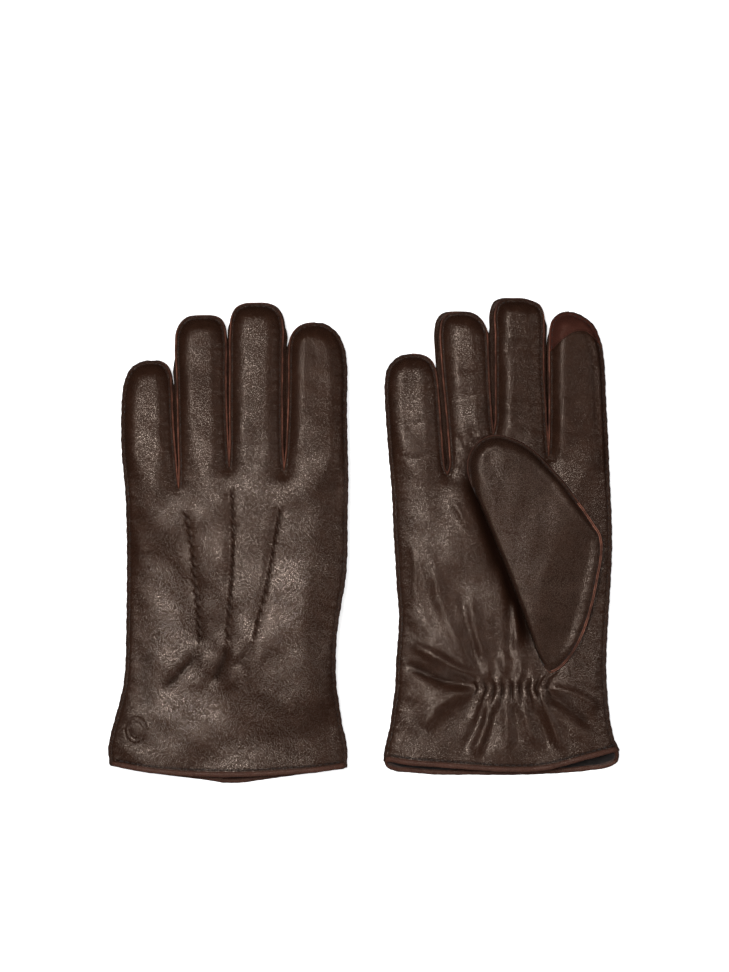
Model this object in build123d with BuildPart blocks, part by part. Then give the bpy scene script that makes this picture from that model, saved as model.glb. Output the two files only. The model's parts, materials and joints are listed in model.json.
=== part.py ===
from build123d import *
from dataclasses import dataclass
import math
import os

# A pair of lined leather touchscreen gloves, men's size 9, lying flat side by side.
# The right glove lies palm up with its thumb folded over the palm.
# The left glove lies back up with its thumb folded underneath.
# Frame: origin at the centre of the pair's footprint on the table, +Z up,
# +Y towards the fingertips, +X towards the right glove. Millimetres.
#
# Both gloves have the pinky at -X and the index finger at +X. Within a glove, left is -X and
# right is +X. Heights are measured from its outer back surface towards its palm, and a slab
# is a pair of heights (nearer the back, nearer the palm).

os.makedirs("parts", exist_ok=True)

# ---------------------------------------------------------------- leather and clearances
LEATHER = 1.0           # thickness of every leather panel
BODY = 13.0             # thickness of a glove lying flat, back leather to palm leather
GAP = 0.15              # rest clearance on each side of a bend line
PLAY = 0.05             # clearance between pieces that are sewn together

# ---------------------------------------------------------------- bends
HINGE_H = BODY / 2      # height of the bend axis
BEND = 46.0             # half angle of the bend notch, a little over half of 90 degrees
NOTCH_RISE = 1.5        # how far the notch tool passes the palm
KNUCKLE_MARGIN = 0.4    # how far a knuckle notch passes each side of its finger

# ---------------------------------------------------------------- lining and wrist elastic
LINING = 1.5            # thickness of the hand's knitted lining
THUMB_LINING = 1.2      # thickness of the thumb's lining
LINING_GAP = 0.1        # clearance between lining and leather, in height
LINING_SIDE_GAP = 0.2   # clearance between lining and leather, sideways
LINING_CUFF_GAP = 0.3   # from the cuff edge to the lining
LINING_SLOT_GAP = 3.0   # from the lining's top to the deepest finger slot
ELASTIC = 0.8           # thickness of the wrist elastic
ELASTIC_RADIUS = 1.0

# ---------------------------------------------------------------- cuff binding
BINDING_W = 5.2         # width of the binding, along Y
BINDING_WALL = 2.2      # thickness of the turned binding
BINDING_OUTER_RADIUS = 6.0
BINDING_INNER_RADIUS = 4.0

# ---------------------------------------------------------------- raised back stitching
POINT_W = 1.0           # width of one row
POINT_DEPTH = 0.55      # how deep a row is set into the back leather
POINT_RISE = 0.5        # how far a row stands proud on the glove lying back up
POINT_SINK = 0.05       # how far a row is recessed on the glove lying on its back
GROOVE_CLEAR = 0.1      # clearance around a row in its groove
GROOVE_DEPTH = 0.6

# ---------------------------------------------------------------- thumbs
RIGHT_THUMB_H = 10.0    # thickness of the right thumb, lying free on the palm
LEFT_THUMB_H = 7.3      # thickness of the left thumb, pressed under the palm
THUMB_CLEAR = 0.2       # air between thumb and palm
THUMB_SLOPE = 29.0      # slope of the seam side, so that it can swing well past a right angle
SLOPE_CLEAR = 0.12      # from the slope through the swing axis to the thumb's leather
LINING_SLOPE_CLEAR = LEATHER + 0.35     # the same, to the thumb's lining

# ---------------------------------------------------------------- fingers
LEFT_DROOP = 6.0        # degrees that the left fingers bend down to reach the table
FOURCHETTE_END = 3.0    # how far a fourchette runs past the finger's shoulder
TOUCH_LEN = 15.0        # length of the conductive fingertip patch
FINGER_TAIL = 12.0      # how far a finger's outline is carried below its knuckle
CROP_SIDE = 6.0         # how far the cropping boxes pass a finger's sides
CROP_TIP = 10.0         # how far they pass its tip
CROP_DOWN = 120.0       # reach of the box that clears a wall below a fourchette's end
SIDE_DOWN = 130.0       # reach of the box that clears a seam side of fourchette, downwards
SIDE_UP = 10.0          # and upwards

# ---------------------------------------------------------------- overruns of cutting tools
CORE_OVERRUN = 20.0     # how far a hollow's outline passes the open ends it cuts
CORE_TOP = 100.0        # y where the hand's hollow stops, past every knuckle
HOLE_OVERRUN = 0.1      # past the hand lining
THUMB_OVERRUN = 0.5     # past the thumb's wall

# Leather slabs of each face: (flat plate, half-height side wall)
PALM_LAYERS = ((BODY - LEATHER, BODY), (BODY / 2 + PLAY, BODY - LEATHER))
LAYERS = {
    "back": ((0.0, LEATHER), (LEATHER, BODY / 2 - PLAY)),
    "palm": PALM_LAYERS,
    "touch": PALM_LAYERS,
}
# Fingers with a side on the glove's own side seam, where no fourchette runs
SEAM_SIDE = {"pinky": "left", "index": "right"}


@dataclass
class Finger:
    """One finger's outline."""

    knuckle_y: float
    middle_y: float
    base_x: tuple           # left and right x at the knuckle
    shoulder_left: tuple
    tip: tuple
    shoulder_right: tuple

    @property
    def base_left(self):
        return (self.base_x[0], self.knuckle_y)

    @property
    def base_right(self):
        return (self.base_x[1], self.knuckle_y)

    @property
    def crop_x(self):
        """Left and right x of a box wider than the finger."""
        return (
            min(self.base_x[0], self.shoulder_left[0]) - CROP_SIDE,
            max(self.base_x[1], self.shoulder_right[0]) + CROP_SIDE,
        )

    @property
    def centre_x(self):
        return (self.shoulder_left[0] + self.shoulder_right[0]) / 2

    @property
    def fourchette_y(self):
        """Where the fourchettes end and the tip's own walls begin."""
        return min(self.shoulder_left[1], self.shoulder_right[1]) + FOURCHETTE_END

    @property
    def touch_y(self):
        """Where the conductive patch begins."""
        return self.tip[1] - TOUCH_LEN

    def span_y(self, segment):
        """Lower and upper y of the base or tip segment."""
        if segment == "base":
            return self.knuckle_y + GAP, self.middle_y - GAP
        return self.middle_y + GAP, self.tip[1] + CROP_TIP


@dataclass
class Glove:
    """One glove's pose and outlines."""

    name: str
    palm_dir: int           # 1 when the palm faces +Z, -1 when it faces -Z
    back_z: float           # z of the outer back surface
    thumb_h: float
    droop: float
    pinky_side: list        # upwards from the cuff, the knuckle is added below
    index_side: list        # downwards to the cuff, the knuckle is added below
    slots: list             # bottoms between neighbouring fingers
    fingers: dict
    thumb: list
    hole: list              # where the thumb opens into the hand
    axis: list              # the thumb's swing axis, upper end first
    points: list            # rows of back stitching, each (upper end, lower end)
    elastic: list           # two opposite corners, upper left first

    def __post_init__(self):
        self.pinky_side = self.pinky_side + [self.fingers["pinky"].base_left]
        self.index_side = [self.fingers["index"].base_right] + self.index_side
        self.cuff_y = self.pinky_side[0][1]

    def z(self, height):
        return self.back_z + self.palm_dir * height

    def plane(self, slab):
        """The lower plane of a slab."""
        return Plane.XY.offset(min(self.z(slab[0]), self.z(slab[1])))


# ---------------------------------------------------------------- outlines
# All points are (x, y). Slots are (left x, right x, y).
RIGHT_GLOVE = Glove(
    name="right", palm_dir=1, back_z=0.0, thumb_h=RIGHT_THUMB_H, droop=0.0,
    pinky_side=[
        (10.2, -118.3), (13.4, -102.4), (16.3, -81.2), (16.7, -65.3), (18.4, -39.9),
        (16.8, -12.3), (15.5, 8.9), (14.2, 30.1),
    ],
    index_side=[
        (128.9, 30.1), (130.1, -1.7), (129.2, -28.2), (127.3, -54.7),
        (127.3, -75.9), (128.4, -89.2), (130.2, -105.1), (135.3, -118.3),
    ],
    slots=[(43.1, 44.3, 33.2), (67.5, 68.4, 54.4), (96.4, 97.6, 41.7)],
    fingers={
        "pinky": Finger(44.9, 68.7, (13.0, 40.9), (11.1, 84.1), (24.8, 96.3), (37.5, 85.7)),
        "ring": Finger(62.9, 91.0, (41.4, 66.3), (41.9, 101.6), (52.9, 118.6), (64.7, 105.3)),
        "middle": Finger(62.9, 91.0, (68.0, 95.3), (66.4, 112.2), (79.3, 125.7), (94.4, 113.8)),
        "index": Finger(53.4, 81.5, (96.9, 127.8), (96.4, 101.6), (110.6, 119.1), (125.5, 97.9)),
    },
    thumb=[
        (121.7, 1.4), (109.6, 21.0), (99.5, 34.8), (89.4, 44.9), (77.8, 52.3),
        (67.7, 53.4), (57.6, 48.1), (53.9, 41.2), (54.4, 32.2), (59.2, 19.5),
        (69.3, -4.4), (79.3, -29.8), (89.4, -58.5), (93.7, -69.1), (97.4, -71.2),
        (103.2, -68.0), (108.5, -61.6), (113.3, -51.6), (117.5, -38.3), (120.2, -21.4),
        (122.3, -4.4),
    ],
    hole=[
        (118.0, -13.4), (114.9, -33.5), (110.6, -49.4), (104.8, -60.0), (100.0, -62.7),
        (104.3, -44.1), (109.6, -25.6), (113.8, -13.4),
    ],
    axis=[(125.1, -5.4), (100.2, -72.2)],
    points=[
        [(43.3, 24.5), (51.7, -50.5)],
        [(68.6, 33.0), (66.1, -48.2)],
        [(95.2, 24.5), (80.5, -49.9)],
    ],
    elastic=[(62.4, -78.3), (93.1, -84.2)],
)

LEFT_GLOVE = Glove(
    name="left", palm_dir=-1, back_z=BODY + THUMB_CLEAR + LEFT_THUMB_H,
    thumb_h=LEFT_THUMB_H, droop=LEFT_DROOP,
    pinky_side=[
        (-135.3, -120.5), (-133.2, -101.4), (-128.2, -81.2), (-126.4, -65.3),
        (-125.8, -44.1), (-125.2, -12.3), (-125.8, 19.5),
    ],
    index_side=[
        (-9.7, 19.5), (-10.2, -12.3), (-11.8, -28.2), (-15.6, -50.5), (-16.3, -66.4),
        (-16.1, -81.2), (-13.4, -97.1), (-10.5, -110.4), (-10.5, -120.5),
    ],
    slots=[(-98.8, -97.7, 25.8), (-72.2, -71.2, 36.9), (-43.0, -41.8, 34.8)],
    fingers={
        "pinky": Finger(
            41.7, 65.6, (-127.0, -100.5), (-127.4, 80.9), (-113.6, 92.9), (-102.4, 85.2)),
        "ring": Finger(
            56.6, 84.6, (-99.0, -73.2), (-100.1, 103.2), (-86.0, 117.0), (-73.8, 108.5)),
        "middle": Finger(
            56.6, 84.6, (-71.5, -43.4), (-72.1, 113.8), (-57.9, 123.3), (-42.6, 113.8)),
        "index": Finger(
            51.3, 79.3, (-41.1, -10.1), (-41.2, 99.0), (-26.1, 113.0), (-10.5, 95.2)),
    },
    thumb=[
        (-17.4, -5.5), (-29.6, 14.2), (-39.6, 27.9), (-49.7, 38.0), (-61.4, 45.4),
        (-71.4, 46.5), (-81.5, 41.2), (-85.2, 34.3), (-84.7, 25.3), (-79.9, 12.6),
        (-69.9, -11.3), (-59.8, -36.7), (-49.7, -65.3), (-45.5, -75.9), (-41.8, -78.1),
        (-35.9, -74.9), (-30.6, -68.5), (-25.9, -58.5), (-21.6, -45.2), (-19.0, -28.2),
        (-16.9, -11.3),
    ],
    hole=[
        (-21.1, -20.3), (-24.3, -40.4), (-28.5, -56.3), (-34.3, -66.9), (-39.1, -69.6),
        (-34.9, -51.0), (-29.6, -32.5), (-25.3, -20.3),
    ],
    axis=[(-14.0, -12.3), (-39.0, -79.1)],
    points=[
        [(-95.8, 19.2), (-87.4, -55.8)],
        [(-70.5, 27.7), (-73.0, -53.5)],
        [(-43.9, 19.2), (-58.6, -55.2)],
    ],
    elastic=[(-76.7, -85.2), (-46.0, -91.1)],
)


# ---------------------------------------------------------------- shared helpers
def save(part, name):
    part.label = name
    export_step(part, f"parts/{name}.step")


def thickness(slab):
    return slab[1] - slab[0]


def box_2d(x_range, y_range, mode):
    """A rectangle between two x and two y, applied to the sketch being built."""
    x0, x1 = x_range
    y0, y1 = y_range
    with Locations(((x0 + x1) / 2, (y0 + y1) / 2)):
        Rectangle(x1 - x0, y1 - y0, mode=mode)


def bend_notch(glove, y, x0, x1):
    """A prism across a finger that leaves room for a 90 degree bend towards the palm."""
    top = BODY + NOTCH_RISE
    reach = (top - HINGE_H) * math.tan(math.radians(BEND))
    with BuildPart() as tool:
        with BuildSketch(Plane.YZ.offset(x0)):
            with BuildLine():
                Polyline(
                    (y - GAP, glove.z(HINGE_H)), (y + GAP, glove.z(HINGE_H)),
                    (y + GAP + reach, glove.z(top)), (y - GAP - reach, glove.z(top)),
                    close=True,
                )
            make_face()
        extrude(amount=x1 - x0)
    return tool.part


def strip(start, end, width, extra=0.0):
    """Four corners of a narrow rectangle from start to end, extra longer at each end."""
    length = math.dist(start, end)
    along_x, along_y = (end[0] - start[0]) / length, (end[1] - start[1]) / length
    across_x, across_y = -along_y * width / 2, along_x * width / 2
    ax, ay = start[0] - along_x * extra, start[1] - along_y * extra
    bx, by = end[0] + along_x * extra, end[1] + along_y * extra
    return [
        (ax + across_x, ay + across_y), (bx + across_x, by + across_y),
        (bx - across_x, by - across_y), (ax - across_x, ay - across_y),
    ]


# ---------------------------------------------------------------- hand outlines
def hand_outline(glove):
    """The hand with its four finger roots, from the cuff's pinky corner round to the index's."""
    outline = glove.pinky_side[:-1]
    for i, finger in enumerate(glove.fingers.values()):
        if i:
            left_x, right_x, slot_y = glove.slots[i - 1]
            outline += [(left_x, slot_y), (right_x, slot_y)]
        outline += [(x, finger.knuckle_y - GAP) for x in finger.base_x]
    return outline + glove.index_side[1:]


def side_between(points, bottom, top):
    """A side line, given upwards, cut or carried straight on to run from bottom to top."""
    out = [(points[0][0], bottom)] if bottom < points[0][1] else []
    for (xa, ya), (xb, yb) in zip(points, points[1:]):
        if ya < bottom < yb:
            out.append((xa + (xb - xa) * (bottom - ya) / (yb - ya), bottom))
        if bottom <= ya <= top:
            out.append((xa, ya))
        if ya < top < yb:
            out.append((xa + (xb - xa) * (top - ya) / (yb - ya), top))
    if top >= points[-1][1]:
        out.append(points[-1])
    if top > points[-1][1]:
        out.append((points[-1][0], top))
    return out


def hand_core(glove, wall, bottom, top):
    """The space between the hand's two sides, wall inside them, from bottom to top."""
    left = side_between([(x + wall, y) for x, y in glove.pinky_side], bottom, top)
    right = side_between([(x - wall, y) for x, y in reversed(glove.index_side)], bottom, top)
    return left + right[::-1]


# ---------------------------------------------------------------- hand pieces
def hand_panel(glove, face):
    """Back or palm leather of the hand: a plate with half-height side walls."""
    plate, wall = LAYERS[face]
    with BuildPart() as panel:
        with BuildSketch(glove.plane(plate)):
            with BuildLine():
                Polyline(*hand_outline(glove), close=True)
            make_face()
            if face == "palm":
                with BuildLine():
                    Polyline(*glove.hole, close=True)
                make_face(mode=Mode.SUBTRACT)
        extrude(amount=thickness(plate))
        with BuildSketch(glove.plane(wall)):
            with BuildLine():
                Polyline(*hand_outline(glove), close=True)
            make_face()
            with BuildLine():
                Polyline(
                    *hand_core(glove, LEATHER, glove.cuff_y - CORE_OVERRUN, CORE_TOP),
                    close=True,
                )
            make_face(mode=Mode.SUBTRACT)
        extrude(amount=thickness(wall))
        if face == "back":
            # grooves that seat the stitching rows
            groove = (-GROOVE_CLEAR, GROOVE_DEPTH)
            groove_w = POINT_W + 2 * GROOVE_CLEAR
            with BuildSketch(glove.plane(groove)):
                for start, end in glove.points:
                    with BuildLine():
                        Polyline(*strip(start, end, groove_w, GROOVE_CLEAR), close=True)
                    make_face()
            extrude(amount=thickness(groove), mode=Mode.SUBTRACT)
        for finger in glove.fingers.values():
            x0, x1 = finger.base_x
            notch = bend_notch(
                glove, finger.knuckle_y, x0 - KNUCKLE_MARGIN, x1 + KNUCKLE_MARGIN)
            add(notch, mode=Mode.SUBTRACT)
    return panel.part


def hand_lining(glove):
    """Knitted tube inside the hand, open at both ends and at the thumb."""
    top = min(slot_y for _, _, slot_y in glove.slots) - LINING_SLOT_GAP
    side_gap = LEATHER + LINING_SIDE_GAP
    # the elastic lies between the lining and the palm leather
    outer = (LEATHER + LINING_GAP, BODY - LEATHER - ELASTIC - 2 * PLAY)
    inner = (outer[0] + LINING, outer[1] - LINING)
    opening = (inner[1] - HOLE_OVERRUN, outer[1] + HOLE_OVERRUN)
    with BuildPart() as lining:
        with BuildSketch(glove.plane(outer)):
            with BuildLine():
                Polyline(
                    *hand_core(glove, side_gap, glove.cuff_y + LINING_CUFF_GAP, top),
                    close=True,
                )
            make_face()
        extrude(amount=thickness(outer))
        with BuildSketch(glove.plane(inner)):
            with BuildLine():
                Polyline(
                    *hand_core(glove, side_gap + LINING,
                               glove.cuff_y - CORE_OVERRUN, top + CORE_OVERRUN),
                    close=True,
                )
            make_face()
        extrude(amount=thickness(inner), mode=Mode.SUBTRACT)
        with BuildSketch(glove.plane(opening)):
            with BuildLine():
                Polyline(*glove.hole, close=True)
            make_face()
        extrude(amount=thickness(opening), mode=Mode.SUBTRACT)
    return lining.part


def wrist_elastic(glove):
    """A flat band just inside the palm leather."""
    (x0, y0), (x1, y1) = glove.elastic
    top = BODY - LEATHER - PLAY
    with BuildPart() as elastic:
        with BuildSketch(glove.plane((top - ELASTIC, top))):
            with Locations(((x0 + x1) / 2, (y0 + y1) / 2)):
                RectangleRounded(x1 - x0, y0 - y1, ELASTIC_RADIUS)
        extrude(amount=ELASTIC)
    return elastic.part


def cuff_binding(glove):
    """A turned leather ring below the cuff edge."""
    x0, x1 = glove.pinky_side[0][0], glove.index_side[-1][0]
    ring_plane = Plane(
        origin=((x0 + x1) / 2, glove.cuff_y - PLAY, glove.z(BODY / 2)),
        x_dir=(1, 0, 0), z_dir=(0, -1, 0),
    )
    with BuildPart() as binding:
        with BuildSketch(ring_plane):
            RectangleRounded(x1 - x0, BODY, BINDING_OUTER_RADIUS)
            RectangleRounded(
                x1 - x0 - 2 * BINDING_WALL, BODY - 2 * BINDING_WALL, BINDING_INNER_RADIUS,
                mode=Mode.SUBTRACT,
            )
        extrude(amount=BINDING_W)
    return binding.part


def point_stitching(glove):
    """Three rows of back stitching, kept off the table where the glove lies on its back."""
    slab = (-POINT_RISE if glove.palm_dir < 0 else POINT_SINK, POINT_DEPTH)
    with BuildPart() as rows:
        with BuildSketch(glove.plane(slab)):
            for start, end in glove.points:
                with BuildLine():
                    Polyline(*strip(start, end, POINT_W), close=True)
                make_face()
        extrude(amount=thickness(slab))
    return rows.part


# ---------------------------------------------------------------- thumb pieces
def thumb_pouch(glove, slab, inset, slope_inset):
    """A thumb-shaped slab whose seam side slopes up from the swing axis."""
    (ax, ay), (bx, by) = glove.axis
    length = math.hypot(ax - bx, ay - by)
    # level direction from the axis towards the thumb
    away_x, away_y = -(ay - by) / length, (ax - bx) / length
    slope = math.radians(THUMB_SLOPE)
    shift = slope_inset / math.sin(slope)
    # with no inset the plane holds the swing axis, and it rises over the thumb
    keep_out = Plane(
        origin=(ax + away_x * shift, ay + away_y * shift, glove.z(BODY + THUMB_CLEAR / 2)),
        z_dir=(
            -away_x * math.sin(slope), -away_y * math.sin(slope),
            glove.palm_dir * math.cos(slope),
        ),
    )
    with BuildPart() as pouch:
        with BuildSketch(glove.plane(slab)):
            with BuildLine():
                Polyline(*glove.thumb, close=True)
            make_face()
            if inset:
                offset(amount=-inset, mode=Mode.REPLACE)
        extrude(amount=thickness(slab))
        split(bisect_by=keep_out, keep=Keep.BOTTOM)
    return pouch.part


def thumb_shell(glove, slab, inset, wall, slope_inset):
    """A hollow thumb, open where it joins the hand."""
    low, high = slab
    inner = thumb_pouch(glove, (low + wall, high - wall), inset + wall, slope_inset + wall)
    opening = (low - THUMB_OVERRUN, low + wall + THUMB_OVERRUN)
    with BuildPart() as shell:
        add(thumb_pouch(glove, slab, inset, slope_inset))
        add(inner, mode=Mode.SUBTRACT)
        with BuildSketch(glove.plane(opening)):
            with BuildLine():
                Polyline(*glove.hole, close=True)
            make_face()
        extrude(amount=thickness(opening), mode=Mode.SUBTRACT)
    return shell.part


def thumb_leather(glove):
    low = BODY + THUMB_CLEAR
    return thumb_shell(glove, (low, low + glove.thumb_h), 0.0, LEATHER, SLOPE_CLEAR)


def thumb_lining(glove):
    low = BODY + THUMB_CLEAR
    inset = LEATHER + LINING_GAP
    slab = (low + inset, low + glove.thumb_h - inset)
    return thumb_shell(glove, slab, LEATHER + LINING_SIDE_GAP, THUMB_LINING, LINING_SLOPE_CLEAR)


# ---------------------------------------------------------------- finger pieces
def tail_corner(base, shoulder):
    """The end of a finger's side line, carried on below its knuckle."""
    ratio = FINGER_TAIL / math.dist(base, shoulder)
    return (
        base[0] + (base[0] - shoulder[0]) * ratio,
        base[1] + (base[1] - shoulder[1]) * ratio,
    )


def draw_finger(finger):
    """The finger's closed outline, drawn in the line being built."""
    left, right = finger.shoulder_left, finger.shoulder_right
    Polyline(
        right, tail_corner(finger.base_right, right),
        tail_corner(finger.base_left, left), left,
    )
    ThreePointArc(left, finger.tip, right)


def cut_bends(glove, finger, segment):
    """Cut the bend notches at a segment's ends from the part being built."""
    add(bend_notch(glove, finger.middle_y, *finger.crop_x), mode=Mode.SUBTRACT)
    if segment == "base":
        add(bend_notch(glove, finger.knuckle_y, *finger.crop_x), mode=Mode.SUBTRACT)


def drooped(glove, finger, part):
    """The left glove's fingers hang down a little from their knuckles."""
    if not glove.droop:
        return part
    hinge = Axis((0, finger.knuckle_y, glove.z(HINGE_H)), (1, 0, 0))
    return part.rotate(hinge, -glove.droop)


def finger_leather(glove, name, segment, face):
    """One face of a finger segment: a plate, with half-height walls where no fourchette runs."""
    finger = glove.fingers[name]
    plate, wall = LAYERS[face]
    x0, x1 = finger.crop_x
    y0, y1 = finger.span_y(segment)
    # the touch patch takes the place of the end of the index finger's palm leather
    if face == "palm" and name == "index" and segment == "tip":
        y1 = finger.touch_y - PLAY
    if face == "touch":
        y0 = finger.touch_y + PLAY
    seam = SEAM_SIDE.get(name)
    wall_y = finger.fourchette_y + PLAY
    with BuildPart() as leather:
        with BuildSketch(glove.plane(plate)):
            with BuildLine():
                draw_finger(finger)
            make_face()
            box_2d((x0, x1), (y0, y1), Mode.INTERSECT)
        extrude(amount=thickness(plate))
        if seam or segment == "tip":
            with BuildSketch(glove.plane(wall)):
                with BuildLine():
                    draw_finger(finger)
                make_face()
                offset(amount=-LEATHER, mode=Mode.SUBTRACT)
                box_2d((x0, x1), (y0, y1), Mode.INTERSECT)
                if seam != "left":
                    box_2d((x0, finger.centre_x), (wall_y - CROP_DOWN, wall_y), Mode.SUBTRACT)
                if seam != "right":
                    box_2d((finger.centre_x, x1), (wall_y - CROP_DOWN, wall_y), Mode.SUBTRACT)
            extrude(amount=thickness(wall))
        cut_bends(glove, finger, segment)
    return drooped(glove, finger, leather.part)


def finger_fourchettes(glove, name, segment):
    """The upright strips between this finger and its neighbours, one per inner side."""
    finger = glove.fingers[name]
    x0, x1 = finger.crop_x
    y0, y1 = finger.span_y(segment)
    end_y = finger.fourchette_y
    y1 = min(y1, end_y - PLAY)
    side_y = (end_y - SIDE_DOWN, end_y + SIDE_UP)
    slab = (LEATHER + PLAY, BODY - LEATHER - PLAY)
    seam = SEAM_SIDE.get(name)
    with BuildPart() as strips:
        with BuildSketch(glove.plane(slab)):
            with BuildLine():
                draw_finger(finger)
            make_face()
            offset(amount=-LEATHER, mode=Mode.SUBTRACT)
            box_2d((x0, x1), (y0, y1), Mode.INTERSECT)
            if seam == "left":
                box_2d((x0, finger.centre_x), side_y, Mode.SUBTRACT)
            if seam == "right":
                box_2d((finger.centre_x, x1), side_y, Mode.SUBTRACT)
        extrude(amount=thickness(slab))
        cut_bends(glove, finger, segment)
    return drooped(glove, finger, strips.part)


def tip_leather(glove, name):
    """Back and palm leather of a fingertip, as one piece of two solids."""
    return Compound(children=[
        finger_leather(glove, name, "tip", "back"),
        finger_leather(glove, name, "tip", "palm"),
    ])


# ---------------------------------------------------------------- build both gloves
for glove in (RIGHT_GLOVE, LEFT_GLOVE):
    side = glove.name
    save(hand_panel(glove, "back"), f"{side}_back_panel")
    save(hand_panel(glove, "palm"), f"{side}_palm_panel")
    save(hand_lining(glove), f"{side}_hand_lining")
    save(wrist_elastic(glove), f"{side}_wrist_elastic")
    save(cuff_binding(glove), f"{side}_cuff_binding")
    save(point_stitching(glove), f"{side}_point_stitching")
    save(thumb_leather(glove), f"{side}_thumb_leather")
    save(thumb_lining(glove), f"{side}_thumb_lining")
    for name in glove.fingers:
        save(finger_leather(glove, name, "base", "back"), f"{side}_{name}_base_back")
        save(finger_leather(glove, name, "base", "palm"), f"{side}_{name}_base_palm")
        save(finger_fourchettes(glove, name, "base"), f"{side}_{name}_base_fourchette")
        save(tip_leather(glove, name), f"{side}_{name}_tip_leather")
        save(finger_fourchettes(glove, name, "tip"), f"{side}_{name}_tip_fourchette")
    save(finger_leather(glove, "index", "tip", "touch"), f"{side}_index_touch_patch")
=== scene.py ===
"""A pair of leather gloves lying flat, side by side, on a pale floor.

X runs across the pair, Y towards the fingertips and Z up from the floor at zero. The left-hand
glove lies at negative X with its back up and its thumb folded underneath. The right-hand glove
lies at positive X with its palm up and its thumb folded over the palm. Shapes are worked out in
millimetres and become metres when a mesh is made.
"""
import json
import math

import bpy
import numpy as np
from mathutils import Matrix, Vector, kdtree
from mathutils.geometry import delaunay_2d_cdt


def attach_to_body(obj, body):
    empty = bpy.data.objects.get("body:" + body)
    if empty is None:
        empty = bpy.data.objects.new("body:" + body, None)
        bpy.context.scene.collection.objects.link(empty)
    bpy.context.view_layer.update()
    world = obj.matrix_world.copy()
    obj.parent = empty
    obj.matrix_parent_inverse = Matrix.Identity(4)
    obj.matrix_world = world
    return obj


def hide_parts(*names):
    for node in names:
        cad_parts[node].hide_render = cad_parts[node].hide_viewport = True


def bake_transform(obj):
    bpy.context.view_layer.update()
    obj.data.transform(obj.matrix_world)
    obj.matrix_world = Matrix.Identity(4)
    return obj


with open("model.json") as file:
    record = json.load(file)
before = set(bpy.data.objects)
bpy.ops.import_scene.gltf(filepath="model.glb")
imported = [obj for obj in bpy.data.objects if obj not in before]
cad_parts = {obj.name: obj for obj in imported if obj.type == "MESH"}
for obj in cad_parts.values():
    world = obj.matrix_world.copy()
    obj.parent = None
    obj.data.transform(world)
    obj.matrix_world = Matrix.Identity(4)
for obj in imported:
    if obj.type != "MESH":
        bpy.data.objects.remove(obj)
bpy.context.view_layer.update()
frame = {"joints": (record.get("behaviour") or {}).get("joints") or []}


# ------------------------------------------------------------------ sizes, mm
MM = 0.001
SPACING = 1.12       # between mesh points inside a leather
STEP = 0.5                             # between points of an outline
RING_DEPTHS = (0.45, 0.9, 1.3, 1.8, 2.5, 3.4)    # rows of mesh points that follow a cut edge
LEATHER = 0.85                         # leather thickness
RIM = 0.42                             # how far the slanted raw cut shows beyond the face
FLANGE = 1.35                          # width of the sewn flange outside the leather's rise
SEAM_INSET = 1.25                      # stitch line, measured in from the cut edge
STITCH_PITCH = 3.1
STITCH_LENGTH = 2.1
STITCH_HALF = 0.26                     # half width of a thread
STITCH_RISE = 0.16
HEM_ROW = 3.5                          # stitch row above the hem, holding the cuff binding
MID = {"right": 6.5, "left": 14.0}     # height of each glove's middle plane
CROWN = 6.05                           # half thickness of a filled glove
EDGE_SLOT = 2.5                        # half height between the seams beside a finger slot
EDGE_OUT = 0.9                         # half height at an outseam, where two leathers meet
EDGE_TIP = 1.0                         # half height at a fingertip
FLOOR_GAP = 0.12                       # lowest place of the leather's outer face
DROOP = math.tan(math.radians(6.0))    # slope of the left-hand glove's fingers

GLOVES = ("right", "left")
FINGERS = ["pinky", "ring", "middle", "index"]
HEM = 9                                # stretch number of the hem; the fingers are 0 to 3
TOUCH_REGION = 9                       # piece number of the index finger's touch patch
# pieces 0 to 8 of a leather: the hand, then two a finger
REGIONS = ["hand"] + [f"{finger}_{half}" for finger in FINGERS for half in ("lower", "upper")]

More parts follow.
